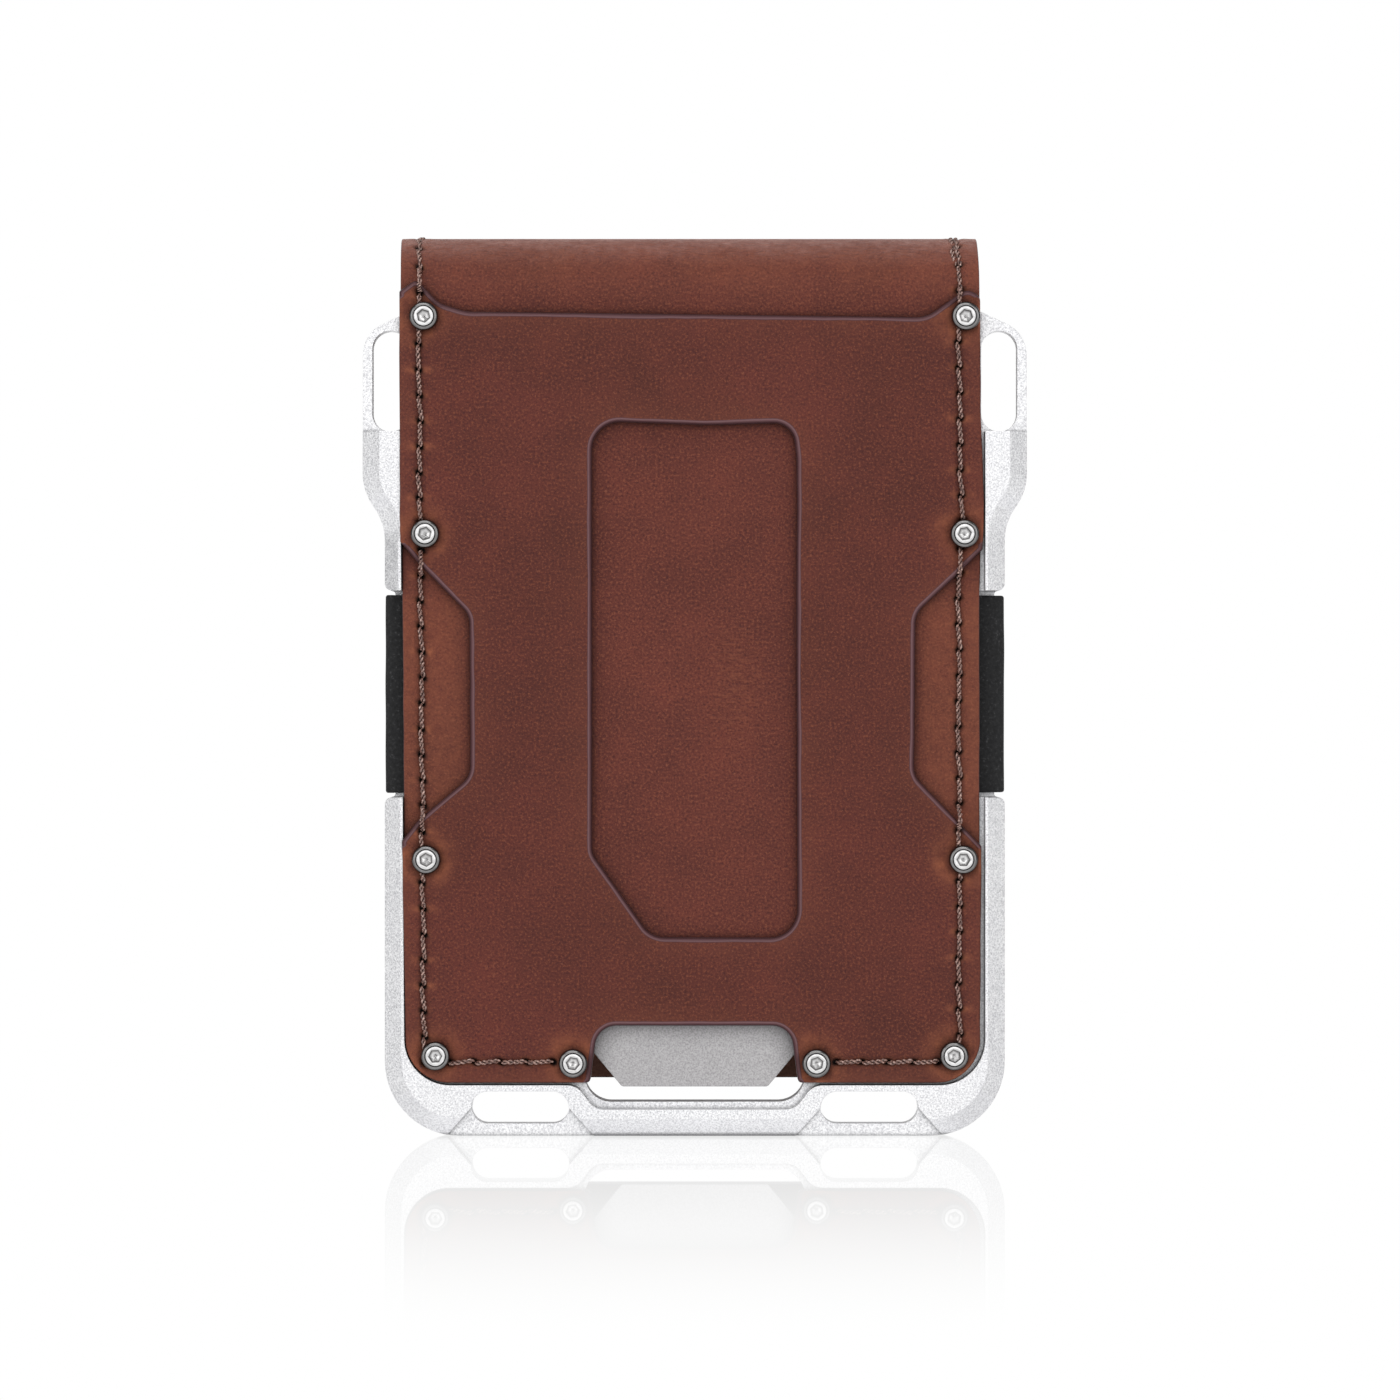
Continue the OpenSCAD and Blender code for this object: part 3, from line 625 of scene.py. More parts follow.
def seamRelief(u, v, holes, lines):  # dents of the holes, the groove under the thread and the marks round them
    lift, holeShade, pull = np.zeros(len(u)), np.zeros(len(u)), np.zeros(len(u))
    for k, (x, z) in enumerate(holes):
        near = np.where((np.abs(u - x) < 3.2) & (np.abs(v - z) < 3.2))[0]
        du, dv = u[near] - x, v[near] - z
        lean = 0.6 if x < 0 else -0.25  # awl slits lie aslant the seam
        along, across = du * math.cos(lean) - dv * math.sin(lean), du * math.sin(lean) + dv * math.cos(lean)
        r = np.hypot(along / 1.5, across)
        swell = 0.05 * np.exp(-((np.hypot(du, dv) - 0.95) / 0.35) ** 2)  # leather pushed up round the hole
        lift[near] += -seamSettings["holeDepth"] * np.exp(-(r / 0.30) ** 2) + swell
        # near-black painted shade where each hole goes in
        holeShade[near] = np.maximum(holeShade[near], np.clip(1.9 * np.exp(-(r / 0.34) ** 2), 0, 1))
        streak = 0.78 + 0.32 * smoothNoise(u[near] * 0.6, v[near], 0.45, 11 + k)
        reach = 0.95 + 0.35 * math.sin(k * 2.3)
        paler = 1.25 * np.exp(-(du / reach) ** 2 - (dv / 0.38) ** 2) * streak
        pull[near] = np.maximum(pull[near], np.clip(paler, 0, 1))
    for (x0, z0), (x1, z1) in lines:
        d = np.array((x1 - x0, z1 - z0))
        t = np.clip(((u - x0) * d[0] + (v - z0) * d[1]) / (d @ d), 0, 1)
        away = np.hypot(u - x0 - t * d[0], v - z0 - t * d[1])
        lift = lift - seamSettings["sink"] * np.exp(-(away / 0.5) ** 2)
    return lift, holeShade, pull


def hideWaves(u, v):
    return 0.055 * smoothNoise(u, v, 17, 1) + 0.025 * smoothNoise(u, v, 6.5, 2) + 0.012 * smoothNoise(u, v, 2.4, 3)


def ringsRound(places, radii, count):
    angles = [2 * math.pi * k / count for k in range(count)]
    return np.array([(x + r * math.cos(a), z + r * math.sin(a)) for x, z in places for r in radii for a in angles]
                    + [tuple(p) for p in places]).reshape(-1, 2)


# Front pocket
spacing = sheetSettings["edgeSpacing"]
rightTab = [(33.15, 96.5, 0.9), (31.7, 97.6, 1.4), (26.9, 94.2, 4.0)]
leftTab = [(-25.6, 94.85, 4.5), (-28.7, 95.8, 3.0), (-31.3, 98.6, 0.7), (-33.2, 97.2, 0.3)]
pocketLoop = roundedOutline([(11.1, notchZ, 2.4), (12.0, coverZ, 0.5), (coverX, coverZ, 5.0)] + rightCut
                            + rightTab + leftTab + leftCut[::-1]
                            + [(-coverX, coverZ, 5.0), (-12.0, coverZ, 0.5), (-11.1, notchZ, 2.4)], spacing)
windowLoop = roundedOutline([(-11.7, 32.5, 2), (-5.0, 22.9, 3), (11.95, 22.85, 3.2), (11.75, 78.0, 12),
                             (11.4, 82.1, 2.4), (1.5, 81.8, 40), (-11.6, 82.3, 3.2)], spacing)


def onTop(u, v):  # on the pocket rather than on the cover below it
    return bool(insideLoops(np.array([(u, v)]), [pocketLoop])[0])


pocketHoles = [p for p in leftHoles + rightHoles if onTop(*p)] + bottomLeft + bottomRight
seamEnds = {"left": (9.6, 36.6, 65.9, 97.6), "right": (9.6, 35.6, 64.6, 97.2)}
pocketLines = [((seamSettings[side], low), (seamSettings[side], high)) for side in ("left", "right")
               for low, high in (seamEnds[side][:2], seamEnds[side][2:])]
pocketLines += [((s * 15.6, seamSettings["bottom"]), (s * 28.3, seamSettings["bottom"])) for s in (-1, 1)]


def pocketRelief(u, v, gap):
    lift, holeShade, pull = seamRelief(u, v, pocketHoles, pocketLines)
    r = nearPoints(u, v, screws, 6.0)  # the screws pull the leather down round themselves
    lift = lift + hideWaves(u, v) - 0.20 * np.exp(-np.maximum(r - 1.5, 0) ** 2 / 0.8)
    ring = np.exp(-((r - 2.2) / 1.2) ** 2) * 0.75
    sides = (np.abs(u) > 31.6) & ((v < 33.2) | ((v > 68.2) & (v < 96.4)))
    bare = sides | ((v < 7.9) & (np.abs(u) > 12.8))  # these edges lie against the metal and are not painted
    return lift, {"holeShade": holeShade, "gap": np.where(bare, gap + 0.62, gap),
                  "pull": np.maximum(pull, ring * (0.6 + 0.4 * smoothNoise(u, v, 1.2, 8)))}


extraPocket = np.vstack((ringsRound(pocketHoles, sheetSettings["holeRings"], 10),
                         ringsRound(screws, sheetSettings["screwRings"], 20)))
frontPocket = leatherSheet("frontPocket", [pocketLoop, windowLoop], coverT, onPocket, pocketRelief, extraPocket,
                           [leatherPocket, edgeBrown, leatherDark], beadEdge)
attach(frontPocket, "frame")
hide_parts("front_pocket")

# Front cover up to the crown of the fold, and rear cover down from it
coverHoles = [p for p in leftHoles + rightHoles if p[1] < foldMid and not onTop(*p)]
coverLines = [((seamSettings[side], low), (seamSettings[side], high)) for side in ("left", "right")
              for low, high in (seamEnds[side][1:3], (seamEnds[side][3], foldMid))]


def foldMarks(u, v):  # the bent strip is paler towards the crown, partly from the bend and partly as a painted highlight of the crown, warm beside it, and finely creased
    share = ease(v, foldZ + 3.0, foldMid - 1.0) * ease(2 * foldMid - v, foldZ + 3.0, foldMid - 1.0)
    share = np.maximum(share, ease(v, foldZ + 3, foldMid - 1) * ease(-v, -foldEnd + 3, 1 - foldMid))
    wide = np.clip((v - foldZ + 2) / 7, 0, 1) * np.clip((foldEnd + 2 - v) / 7, 0, 1)
    bend = np.clip(share * (0.75 + 0.25 * smoothNoise(u, v * 2, 4.0, 31)), 0, 1)
    return bend, wide, 0.30 * wide * (0.6 + 0.4 * smoothNoise(u, v, 3.0, 33)) * (1 - bend)


def coverRelief(u, v, gap):
    lift, holeShade, pull = seamRelief(u, v, coverHoles, coverLines)
    bend, wide, warm = foldMarks(u, v)
    ripple = np.exp(-((u - 5) / 7) ** 2 - ((v - 52) / 16) ** 2)
    waves = hideWaves(u + 40, v) + 0.02 * ripple * smoothNoise(u, v, 1.3, 51)
    lift = lift + waves * np.clip((foldMid - v) / 3, 0, 1) + 0.12 * wide
    warm = np.maximum(warm, 0.26 * ease(np.abs(u), 24.5, 27.5) * ease(-v, -66, -60))  # leather in the side cuts
    return lift, {"holeShade": holeShade, "pull": np.maximum(pull, warm), "bend": bend, "crease": np.maximum(wide, ripple)}


frontLoop = roundedOutline([(11.1, notchZ + 0.3, 2.4), (12.0, coverZ, 0.5), (coverX, coverZ, 5.0),
                            (coverX, foldMid, 0), (-coverX, foldMid, 0), (-coverX, coverZ, 5.0),
                            (-12.0, coverZ, 0.5), (-11.1, notchZ + 0.3, 2.4)], spacing)
frontCover = leatherSheet("frontCover", [frontLoop], coverT, onCover, coverRelief,
                          ringsRound(coverHoles, sheetSettings["holeRings"], 10),
                          [leatherBrown, edgeBrown, leatherDark])
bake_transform(frontCover)
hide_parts("front_cover")

rearHoles = [p for p in leftHoles + rightHoles if p[1] >= foldMid] + rearBottom
rearLines = [((x, foldMid), (x, flatTop - 3.4)) for x in (seamSettings["left"], seamSettings["right"])]
rearLines += [((-28.3, rearBottomZ), (28.3, rearBottomZ))]


def rearRelief(u, v, gap):
    lift, holeShade, pull = seamRelief(u, v, rearHoles, rearLines)
    bend, wide, warm = foldMarks(u, v)
    lift = lift + hideWaves(u + 90, v) * np.clip((v - foldMid) / 3, 0, 1) + 0.12 * wide
    return lift, {"holeShade": holeShade, "pull": np.maximum(pull, warm), "bend": bend, "crease": wide}


rearLoop = roundedOutline([(coverX, foldMid, 0), (coverX, flatTop, 5.0), (-coverX, flatTop, 5.0),
                           (-coverX, foldMid, 0)], spacing)
rearCover = leatherSheet("rearCover", [rearLoop], coverT, onCover, rearRelief,
                         ringsRound(rearHoles, sheetSettings["holeRings"], 10),
                         [leatherBrown, edgeBrown, leatherDark])
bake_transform(rearCover)
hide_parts("spine", "rear_cover")
print("covers made")

def insidePiece(name, node, dip):  # the lining, or a card slot with a thumb dip in its top edge
    low, high = boxOf(node)
    thick = high.y - low.y

    def place(u, v, h):  # its face looks to the front
        u, v, h = asArrays(u, v, h)
        return np.stack((u, low.y - h, v), -1)

    def relief(u, v, gap):
        return 0.6 * hideWaves(u + low.y * 31, v) - 0.06, {}

    corners = [(coverX, coverZ, 5.0), (coverX, high.z, 0.8)]
    corners += [(12, high.z, 2), (9, high.z - 3, 2)] if dip else []
    loop = roundedOutline(mirroredCorners(corners), 0.8)
    piece = leatherSheet(name, [loop], thick, place, relief, np.zeros((0, 2)),
                         [leatherDark, edgeDark, leatherDark])
    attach(piece, "rear")
    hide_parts(node)
    return piece


insidePiece("rearLining", "rear_lining", False)
insidePiece("cardSlotUpper", "card_slot_upper", True)
insidePiece("cardSlotMiddle", "card_slot_middle", True)
insidePiece("cardSlotLower", "card_slot_lower", True)
print("lining and card slots made")

# Metal parts are the frame's own solids; the left wall of the recess makes room for the hide
metalSettings = {"weld": 2e-6, "flat": 0.6, "sharp": 24, "wallX": (-33.4, -33.7), "wallFrom": 11.3}


def metalCopy(name, node, body, material, widen=0.0):
    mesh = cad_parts[node].data.copy()
    mesh.name = name
    work = bmesh.new()
    work.from_mesh(mesh)
    bmesh.ops.remove_doubles(work, verts=work.verts, dist=metalSettings["weld"])
    bmesh.ops.dissolve_limit(work, angle_limit=math.radians(metalSettings["flat"]), verts=work.verts,
                             edges=work.edges)
    if widen:  # the wall stands a little further out towards the top, as far as the hide drifts
        for vert in work.verts:
            off = min(abs(vert.co.x / mm - x) for x in metalSettings["wallX"])
            if off < 0.005 and vert.co.z > metalSettings["wallFrom"] * mm:
                share = (vert.co.z / mm - driftSettings["from"]) / driftSettings["rise"]
                vert.co.x -= widen * mm * min(share, 1)
    for face in work.faces:
        face.smooth = True
    for edge in work.edges:
        if len(edge.link_faces) != 2 or edge.calc_face_angle() > math.radians(metalSettings["sharp"]):
            edge.smooth = False
    floorReflection = work.faces.layers.float.new("floorReflection")
    for face in work.faces:
        across, up = -face.normal.y, face.normal.z
        if 0.3 < across < 0.97 and up < -0.3:  # those that look down at the bright floor, which get its painted reflection
            face[floorReflection] = 1.0
    work.to_mesh(mesh)
    work.free()
    obj = addObject(name, mesh)
    mesh.materials.clear()
    mesh.materials.append(material)
    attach(obj, body)
    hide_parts(node)
    return obj


metalCopy("chassisFrame", "chassis", "frame", aluminium, driftSettings["left"])
metalCopy("clipFrontLeg", "clip_front_leg", "frame", springSteel)
metalCopy("clipRearLeg", "clip_rear_leg", "clip_leg", springSteel)
print("metal parts made")


bandSettings = {"thick": 1.15, "corner": 1.5, "edge": 0.28, "steps": 5, "spacing": 1.2, "wave": 0.07,
                "inset": 0.05, "rise": 0.10}


def elasticBand():
    s = bandSettings
    half, edge = s["thick"] / 2, s["edge"]
    w, y0, y1 = bandHigh.x - half, bandLow.y + half, bandHigh.y - half
    path = roundedOutline([(x, y, s["corner"] - half) for x, y in ((w, y0), (w, y1), (-w, y1), (-w, y0))],
                          s["spacing"])
    zs = np.linspace(bandLow.z + edge, bandHigh.z - edge, 26)
    arc = [math.pi / 2 * k / s["steps"] for k in range(s["steps"] + 1)]
    section = [(half, z) for z in zs]
    section += [(half - edge + edge * math.cos(a), bandHigh.z - edge + edge * math.sin(a)) for a in arc[1:]]
    section += [(-half + edge - edge * math.sin(a), bandHigh.z - edge + edge * math.cos(a)) for a in arc]
    section += [(-half, z) for z in zs[::-1][1:]]
    section += [(-half + edge - edge * math.cos(a), bandLow.z + edge - edge * math.sin(a)) for a in arc[1:]]
    section += [(half - edge + edge * math.sin(a), bandLow.z + edge - edge * math.cos(a)) for a in arc[:-1]]
    section = np.array(section)
    ahead = np.roll(path, -1, axis=0) - np.roll(path, 1, axis=0)
    normal = np.stack((ahead[:, 1], -ahead[:, 0]), 1)
    normal /= np.linalg.norm(normal, axis=1)[:, None]
    along = np.concatenate(([0], np.cumsum(np.linalg.norm(np.diff(path, axis=0), axis=1))))
    verts = []
    for k, (p, n) in enumerate(zip(path, normal)):
        wave = s["wave"] * smoothNoise(np.full(len(section), along[k]), section[:, 1], 4.0, 41)
        rise = s["rise"] * smoothNoise(np.full(len(section), along[k]), np.zeros(len(section)), 5.0, 42)
        x = p[0] + n[0] * (section[:, 0] - s["inset"] + wave * 0.6)
        y = p[1] + n[1] * (section[:, 0] - s["inset"] + wave * 0.6)
        z = section[:, 1] + rise * (section[:, 1] - (bandLow.z + bandHigh.z) / 2) / 11
        verts.append(np.stack((x, y, z), 1))
    verts = np.vstack(verts) * mm
    m, n = len(section), len(path)
    faces = [(k * m + i, k * m + (i + 1) % m, (k + 1) % n * m + (i + 1) % m, (k + 1) % n * m + i)
             for k in range(n) for i in range(m)]
    mesh = bpy.data.meshes.new("elasticBand")
    mesh.from_pydata([tuple(v) for v in verts], [], faces)
    facesOutward(mesh)
    mesh.materials.append(blackElastic)
    mesh.shade_smooth()
    obj = addObject("elasticBand", mesh)
    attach(obj, "frame")
    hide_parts("elastic_band")
    print("elasticBand", len(mesh.polygons), "faces")


elasticBand()

# Screws: one turned head, placed by nodes
screwSettings = {"radius": 1.66, "height": 1.12, "flat": 1.17, "socket": 0.65, "depth": 0.6, "shank": 0.8,
                 "turns": [12, 47, 5, 33, 21, 50, 8, 29, 40, 17]}


def screwHead():
    s = screwSettings
    r, h, flat, socket = s["radius"], s["height"], s["flat"], s["socket"]
    segments = 48
    dome = [(flat + 0.06 + (r - flat - 0.06) * math.cos(a), h - 0.60 + 0.52 * math.sin(a))
            for a in [math.radians(x) for x in (0, 12, 25, 38, 51, 64, 77, 90)]]
    # turned outline, from below
    profile = [(s["shank"], -2.0), (s["shank"], -0.1), (r - 0.10, -0.1), (r, 0.0)] + dome
    # how dark each ring is painted: the reflection on the rim, and the shade in the groove and the socket
    reflectionAndShade = [0.95] * 4 + [0.97, 0.96, 0.94, 0.90, 0.83, 0.75, 0.70, 0.80]
    profile += [(flat + 0.03, h - 0.13), (flat, h - 0.17), (flat - 0.03, h - 0.13), (flat - 0.06, h - 0.03),
                (flat - 0.11, h)]
    reflectionAndShade += [0.95, 1.0, 0.95, 0.5, 0.05] + [0.24, 0.75, 0.95, 0.85, 0.12, 0.28]
    sides = [(socket + 0.09, h), (socket + 0.03, h - 0.03), (socket, h - 0.10), (socket - 0.02, h - s["depth"]),
             (socket * 0.55, h - s["depth"] - 0.10), (socket * 0.12, h - s["depth"] - 0.26)]
    verts = [(x * math.cos(2 * math.pi * k / segments), x * math.sin(2 * math.pi * k / segments), z)
             for x, z in profile for k in range(segments)]
    for x, z in sides:  # hexagon socket
        for k in range(segments):
            a = 2 * math.pi * k / segments
            reach = x / math.cos((a + math.pi / 6) % (math.pi / 3) - math.pi / 6)
            verts.append((reach * math.cos(a), reach * math.sin(a), z))
    levels = len(profile) + len(sides)
    faces = [(a, b, b + segments, a + segments) for level in range(levels - 1) for k in range(segments)
             for a, b in [(level * segments + k, level * segments + (k + 1) % segments)]]
    last = (levels - 1) * segments
    verts += [(0, 0, h - s["depth"] - 0.28), (0, 0, -2.0)]
    faces += [(last + k, last + (k + 1) % segments, len(verts) - 2) for k in range(segments)]
    faces += [((k + 1) % segments, k, len(verts) - 1) for k in range(segments)]
    mesh = bpy.data.meshes.new("screwHead")
    mesh.from_pydata([tuple(c * mm for c in v) for v in verts], [], faces)
    attribute = mesh.attributes.new("reflectionAndShade", "FLOAT", "POINT")
    attribute.data.foreach_set("value", [b for b in reflectionAndShade for k in range(segments)] + [0.7, 0.9])
    work = bmesh.new()
    work.from_mesh(mesh)
    bmesh.ops.recalc_face_normals(work, faces=work.faces)
    for f in work.faces:
        f.smooth = True
    for e in work.edges:  # sharp where the turned outline or the hexagon has a corner
        if len(e.link_faces) == 2 and e.calc_face_angle() > math.radians(38):
            e.smooth = False
    work.to_mesh(mesh)
    work.free()
    return addObject("screwHead", mesh)


def nodeTree(name, sockets):
    tree = bpy.data.node_groups.new(name, "GeometryNodeTree")
    tree.interface.new_socket("Geometry", in_out="INPUT", socket_type="NodeSocketGeometry")
    for label, kind in sockets:
        tree.interface.new_socket(label, in_out="INPUT", socket_type=kind)
    tree.interface.new_socket("Geometry", in_out="OUTPUT", socket_type="NodeSocketGeometry")
    return tree, addNode(tree, "NodeGroupInput"), addNode(tree, "NodeGroupOutput")


def runNodes(name, tree, points, attributes, inputs):  # points in, plain mesh out
    mesh = bpy.data.meshes.new(name + "Points")
    mesh.from_pydata([tuple(c * mm for c in p) for p in points], [], [])
    for key, values in attributes.items():
        kind = "FLOAT_VECTOR" if len(np.shape(values)) == 2 else "FLOAT"
        attribute = mesh.attributes.new(key, kind, "POINT")
        attribute.data.foreach_set("vector" if kind == "FLOAT_VECTOR" else "value",
                                   np.asarray(values, np.float32).ravel())
    source = addObject(name + "Points", mesh)
    modifier = source.modifiers.new(name, "NODES")
    modifier.node_group = tree
    for item in tree.interface.items_tree:
        if item.in_out == "INPUT" and item.name in inputs:
            modifier[item.identifier] = inputs[item.name]
    bpy.context.view_layer.update()
    graph = bpy.context.evaluated_depsgraph_get()
    result = bpy.data.meshes.new_from_object(source.evaluated_get(graph), depsgraph=graph)
    result.name = name
    bpy.data.objects.remove(source)
    obj = addObject(name, result)
    print(name, len(result.polygons), "faces")
    return obj


def screwTree():
    tree, start, end = nodeTree("screwsOnPoints", [("Head", "NodeSocketObject"), ("Finish", "NodeSocketMaterial")])
    head = addNode(tree, "GeometryNodeObjectInfo", links={"Object": start.outputs["Head"]})
    turn = addNode(tree, "GeometryNodeInputNamedAttribute", {"Name": "turn"}, data_type="FLOAT")
    roll = addNode(tree, "ShaderNodeCombineXYZ", {}, {"Z": turn.outputs["Attribute"]})
    place = addNode(tree, "GeometryNodeInstanceOnPoints", {"Rotation": (math.pi / 2, 0, 0)},
                    {"Points": start.outputs["Geometry"], "Instance": head.outputs["Geometry"]})
    spin = addNode(tree, "GeometryNodeRotateInstances", {"Local Space": True},
                   {"Instances": place.outputs["Instances"], "Rotation": roll.outputs["Vector"]})
    real = addNode(tree, "GeometryNodeRealizeInstances", links={"Geometry": spin.outputs["Instances"]})
    finish = addNode(tree, "GeometryNodeSetMaterial",
                     links={"Geometry": real.outputs["Geometry"], "Material": start.outputs["Finish"]})
    tree.links.new(finish.outputs["Geometry"], end.inputs["Geometry"])
    return tree


head = screwHead()
coverScrews = runNodes("coverScrews", screwTree(), [(x, pocketY + 0.02, z) for x, z in screws],
                       {"turn": [math.radians(t) for t in screwSettings["turns"]]},
                       {"Head": head, "Finish": screwSteel})
bpy.data.objects.remove(head)
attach(coverScrews, "frame")
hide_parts("cover_screws")


# Stitches: a two-ply thread between each pair of holes
stitchSettings = {"Thread Radius": 0.135 * mm, "Twist Radius": 0.158 * mm, "Twists": 2.1, "Lift": 0.36 * mm,
                  "Slant": 5.0, "Seed": 3, "overEdge": 0.35}


def stitchTree():
    tree, start, end = nodeTree("twoPlyStitches", [
        ("Thread Radius", "NodeSocketFloat"), ("Twist Radius", "NodeSocketFloat"), ("Twists", "NodeSocketFloat"),
        ("Lift", "NodeSocketFloat"), ("Slant", "NodeSocketFloat"), ("Seed", "NodeSocketInt"),
        ("Thread", "NodeSocketMaterial")])
    spiral = addNode(tree, "GeometryNodeCurveSpiral", {"Resolution": 7, "Height": 1.0},
                     {"Rotations": start.outputs["Twists"], "Start Radius": start.outputs["Twist Radius"],
                      "End Radius": start.outputs["Twist Radius"]})
    other = addNode(tree, "GeometryNodeTransform", {"Rotation": (0, 0, math.pi)},
                    {"Geometry": spiral.outputs["Curve"]})
    both = addNode(tree, "GeometryNodeJoinGeometry")
    tree.links.new(spiral.outputs["Curve"], both.inputs["Geometry"])
    tree.links.new(other.outputs["Geometry"], both.inputs["Geometry"])
    place = addNode(tree, "GeometryNodeInputPosition")
    parts = addNode(tree, "ShaderNodeSeparateXYZ", links={"Vector": place.outputs["Position"]})
    # the plies stand along Z from 0 to 1: lay them along X, a stitch long, and arch them into the holes
    centred = addNode(tree, "ShaderNodeMath", {1: 0.5}, {0: parts.outputs["Z"]}, operation="SUBTRACT")
    length = addNode(tree, "ShaderNodeMath", {1: seamSettings["pitch"] * mm * 0.94}, {0: centred.outputs[0]},
                     operation="MULTIPLY")
    doubled = addNode(tree, "ShaderNodeMath", {1: 2.0}, {0: centred.outputs[0]}, operation="MULTIPLY")
    away = addNode(tree, "ShaderNodeMath", {}, {0: doubled.outputs[0]}, operation="ABSOLUTE")
    steep = addNode(tree, "ShaderNodeMath", {1: 3.4}, {0: away.outputs[0]}, operation="POWER")
    arch = addNode(tree, "ShaderNodeMath", {1: -1.9, 2: 0.62}, {0: steep.outputs[0]}, operation="MULTIPLY_ADD")
    height = addNode(tree, "ShaderNodeMath", {}, {0: arch.outputs[0], 1: start.outputs["Lift"]},
                     operation="MULTIPLY")
    up = addNode(tree, "ShaderNodeMath", {}, {0: parts.outputs["X"], 1: height.outputs[0]}, operation="ADD")
    laid = addNode(tree, "ShaderNodeCombineXYZ", {},
                   {"X": length.outputs[0], "Y": parts.outputs["Y"], "Z": up.outputs[0]})
    bent = addNode(tree, "GeometryNodeSetPosition", {},
                   {"Geometry": both.outputs["Geometry"], "Position": laid.outputs["Vector"]})
    ring = addNode(tree, "GeometryNodeCurvePrimitiveCircle", {"Resolution": 6},
                   {"Radius": start.outputs["Thread Radius"]})
    tube = addNode(tree, "GeometryNodeCurveToMesh", {"Fill Caps": True},
                   {"Curve": bent.outputs["Geometry"], "Profile Curve": ring.outputs["Curve"]})
    smooth = addNode(tree, "GeometryNodeSetShadeSmooth", links={"Geometry": tube.outputs["Mesh"]})
    along = addNode(tree, "GeometryNodeInputNamedAttribute", {"Name": "along"}, data_type="FLOAT_VECTOR")
    out = addNode(tree, "GeometryNodeInputNamedAttribute", {"Name": "out"}, data_type="FLOAT_VECTOR")
    stretch = addNode(tree, "GeometryNodeInputNamedAttribute", {"Name": "stretch"}, data_type="FLOAT")
    axes = addNode(tree, "FunctionNodeAxesToRotation", {}, {"Primary Axis": out.outputs["Attribute"],
                                                           "Secondary Axis": along.outputs["Attribute"]},
                   primary_axis="Z", secondary_axis="X")
    size = addNode(tree, "ShaderNodeCombineXYZ", {"Y": 1.0, "Z": 1.0}, {"X": stretch.outputs["Attribute"]})
    copies = addNode(tree, "GeometryNodeInstanceOnPoints", {},
                     {"Points": start.outputs["Geometry"], "Instance": smooth.outputs["Geometry"],
                      "Rotation": axes.outputs["Rotation"], "Scale": size.outputs["Vector"]})
    least = addNode(tree, "ShaderNodeMath", {1: 0.4}, {0: start.outputs["Slant"]}, operation="MULTIPLY")
    most = addNode(tree, "ShaderNodeMath", {1: 1.6}, {0: start.outputs["Slant"]}, operation="MULTIPLY")
    chance = addNode(tree, "FunctionNodeRandomValue", {},
                     {2: least.outputs[0], 3: most.outputs[0], "Seed": start.outputs["Seed"]}, data_type="FLOAT")
    degrees = addNode(tree, "ShaderNodeMath", {}, {0: chance.outputs[1]}, operation="RADIANS")
    turn = addNode(tree, "ShaderNodeCombineXYZ", {}, {"Z": degrees.outputs[0]})
    slanted = addNode(tree, "GeometryNodeRotateInstances", {"Local Space": True},
                      {"Instances": copies.outputs["Instances"], "Rotation": turn.outputs["Vector"]})
    real = addNode(tree, "GeometryNodeRealizeInstances", links={"Geometry": slanted.outputs["Instances"]})
    finish = addNode(tree, "GeometryNodeSetMaterial",
                     links={"Geometry": real.outputs["Geometry"], "Material": start.outputs["Thread"]})
    tree.links.new(finish.outputs["Geometry"], end.inputs["Geometry"])
    return tree


def surfaceAt(u, v):  # point and outward normal on the visible leather at a hole
    place = onPocket if onTop(u, v) else onCover
    base = place(u, v, 0.0)
    return base, place(u, v, 1.0) - base


def pocketEdge(a, b):  # where the line between two holes crosses the pocket's outline
    low, high = np.array(a), np.array(b)
    for _ in range(12):
        middle = (low + high) / 2
        if onTop(*middle) == onTop(*a):
            low = middle
        else:
            high = middle
    return low


def stitchesFor(runs):
    centres, along, out, stretch = [], [], [], []
    for holes in runs:
        for a, b in zip(holes, holes[1:]):
            if min(math.hypot((a[0] + b[0]) / 2 - x, (a[1] + b[1]) / 2 - z) for x, z in screws) < 0.5:
                continue
            (pa, na), (pb, nb) = surfaceAt(*a), surfaceAt(*b)
            spans = [(pa, pb, na + nb)]
            if onTop(*a) != onTop(*b):
                edge = onPocket(*pocketEdge(a, b), stitchSettings["overEdge"])
                spans = [(pa, edge, na * 2), (edge, pb, na + nb)]
            for start, end, facing in spans:
                length = np.linalg.norm(end - start)
                if length < 0.35:
                    continue
                direction = (end - start) / length
                normal = facing - direction * (facing @ direction)
                normal /= np.linalg.norm(normal)
                centres.append((start + end) / 2 + normal * 0.05)
                along.append(direction)
                out.append(normal)
                stretch.append(length / seamSettings["pitch"])
    return centres, {"along": along, "out": out, "stretch": stretch}


threads = stitchTree()
frontEnd, rearStart = foldMid + 1.6, foldMid - 1.5  # the two runs share a stitch at the crown


def strand(holes, low, high, shift=0.0):
    return [(x + shift, v) for x, v in holes if low < v < high]


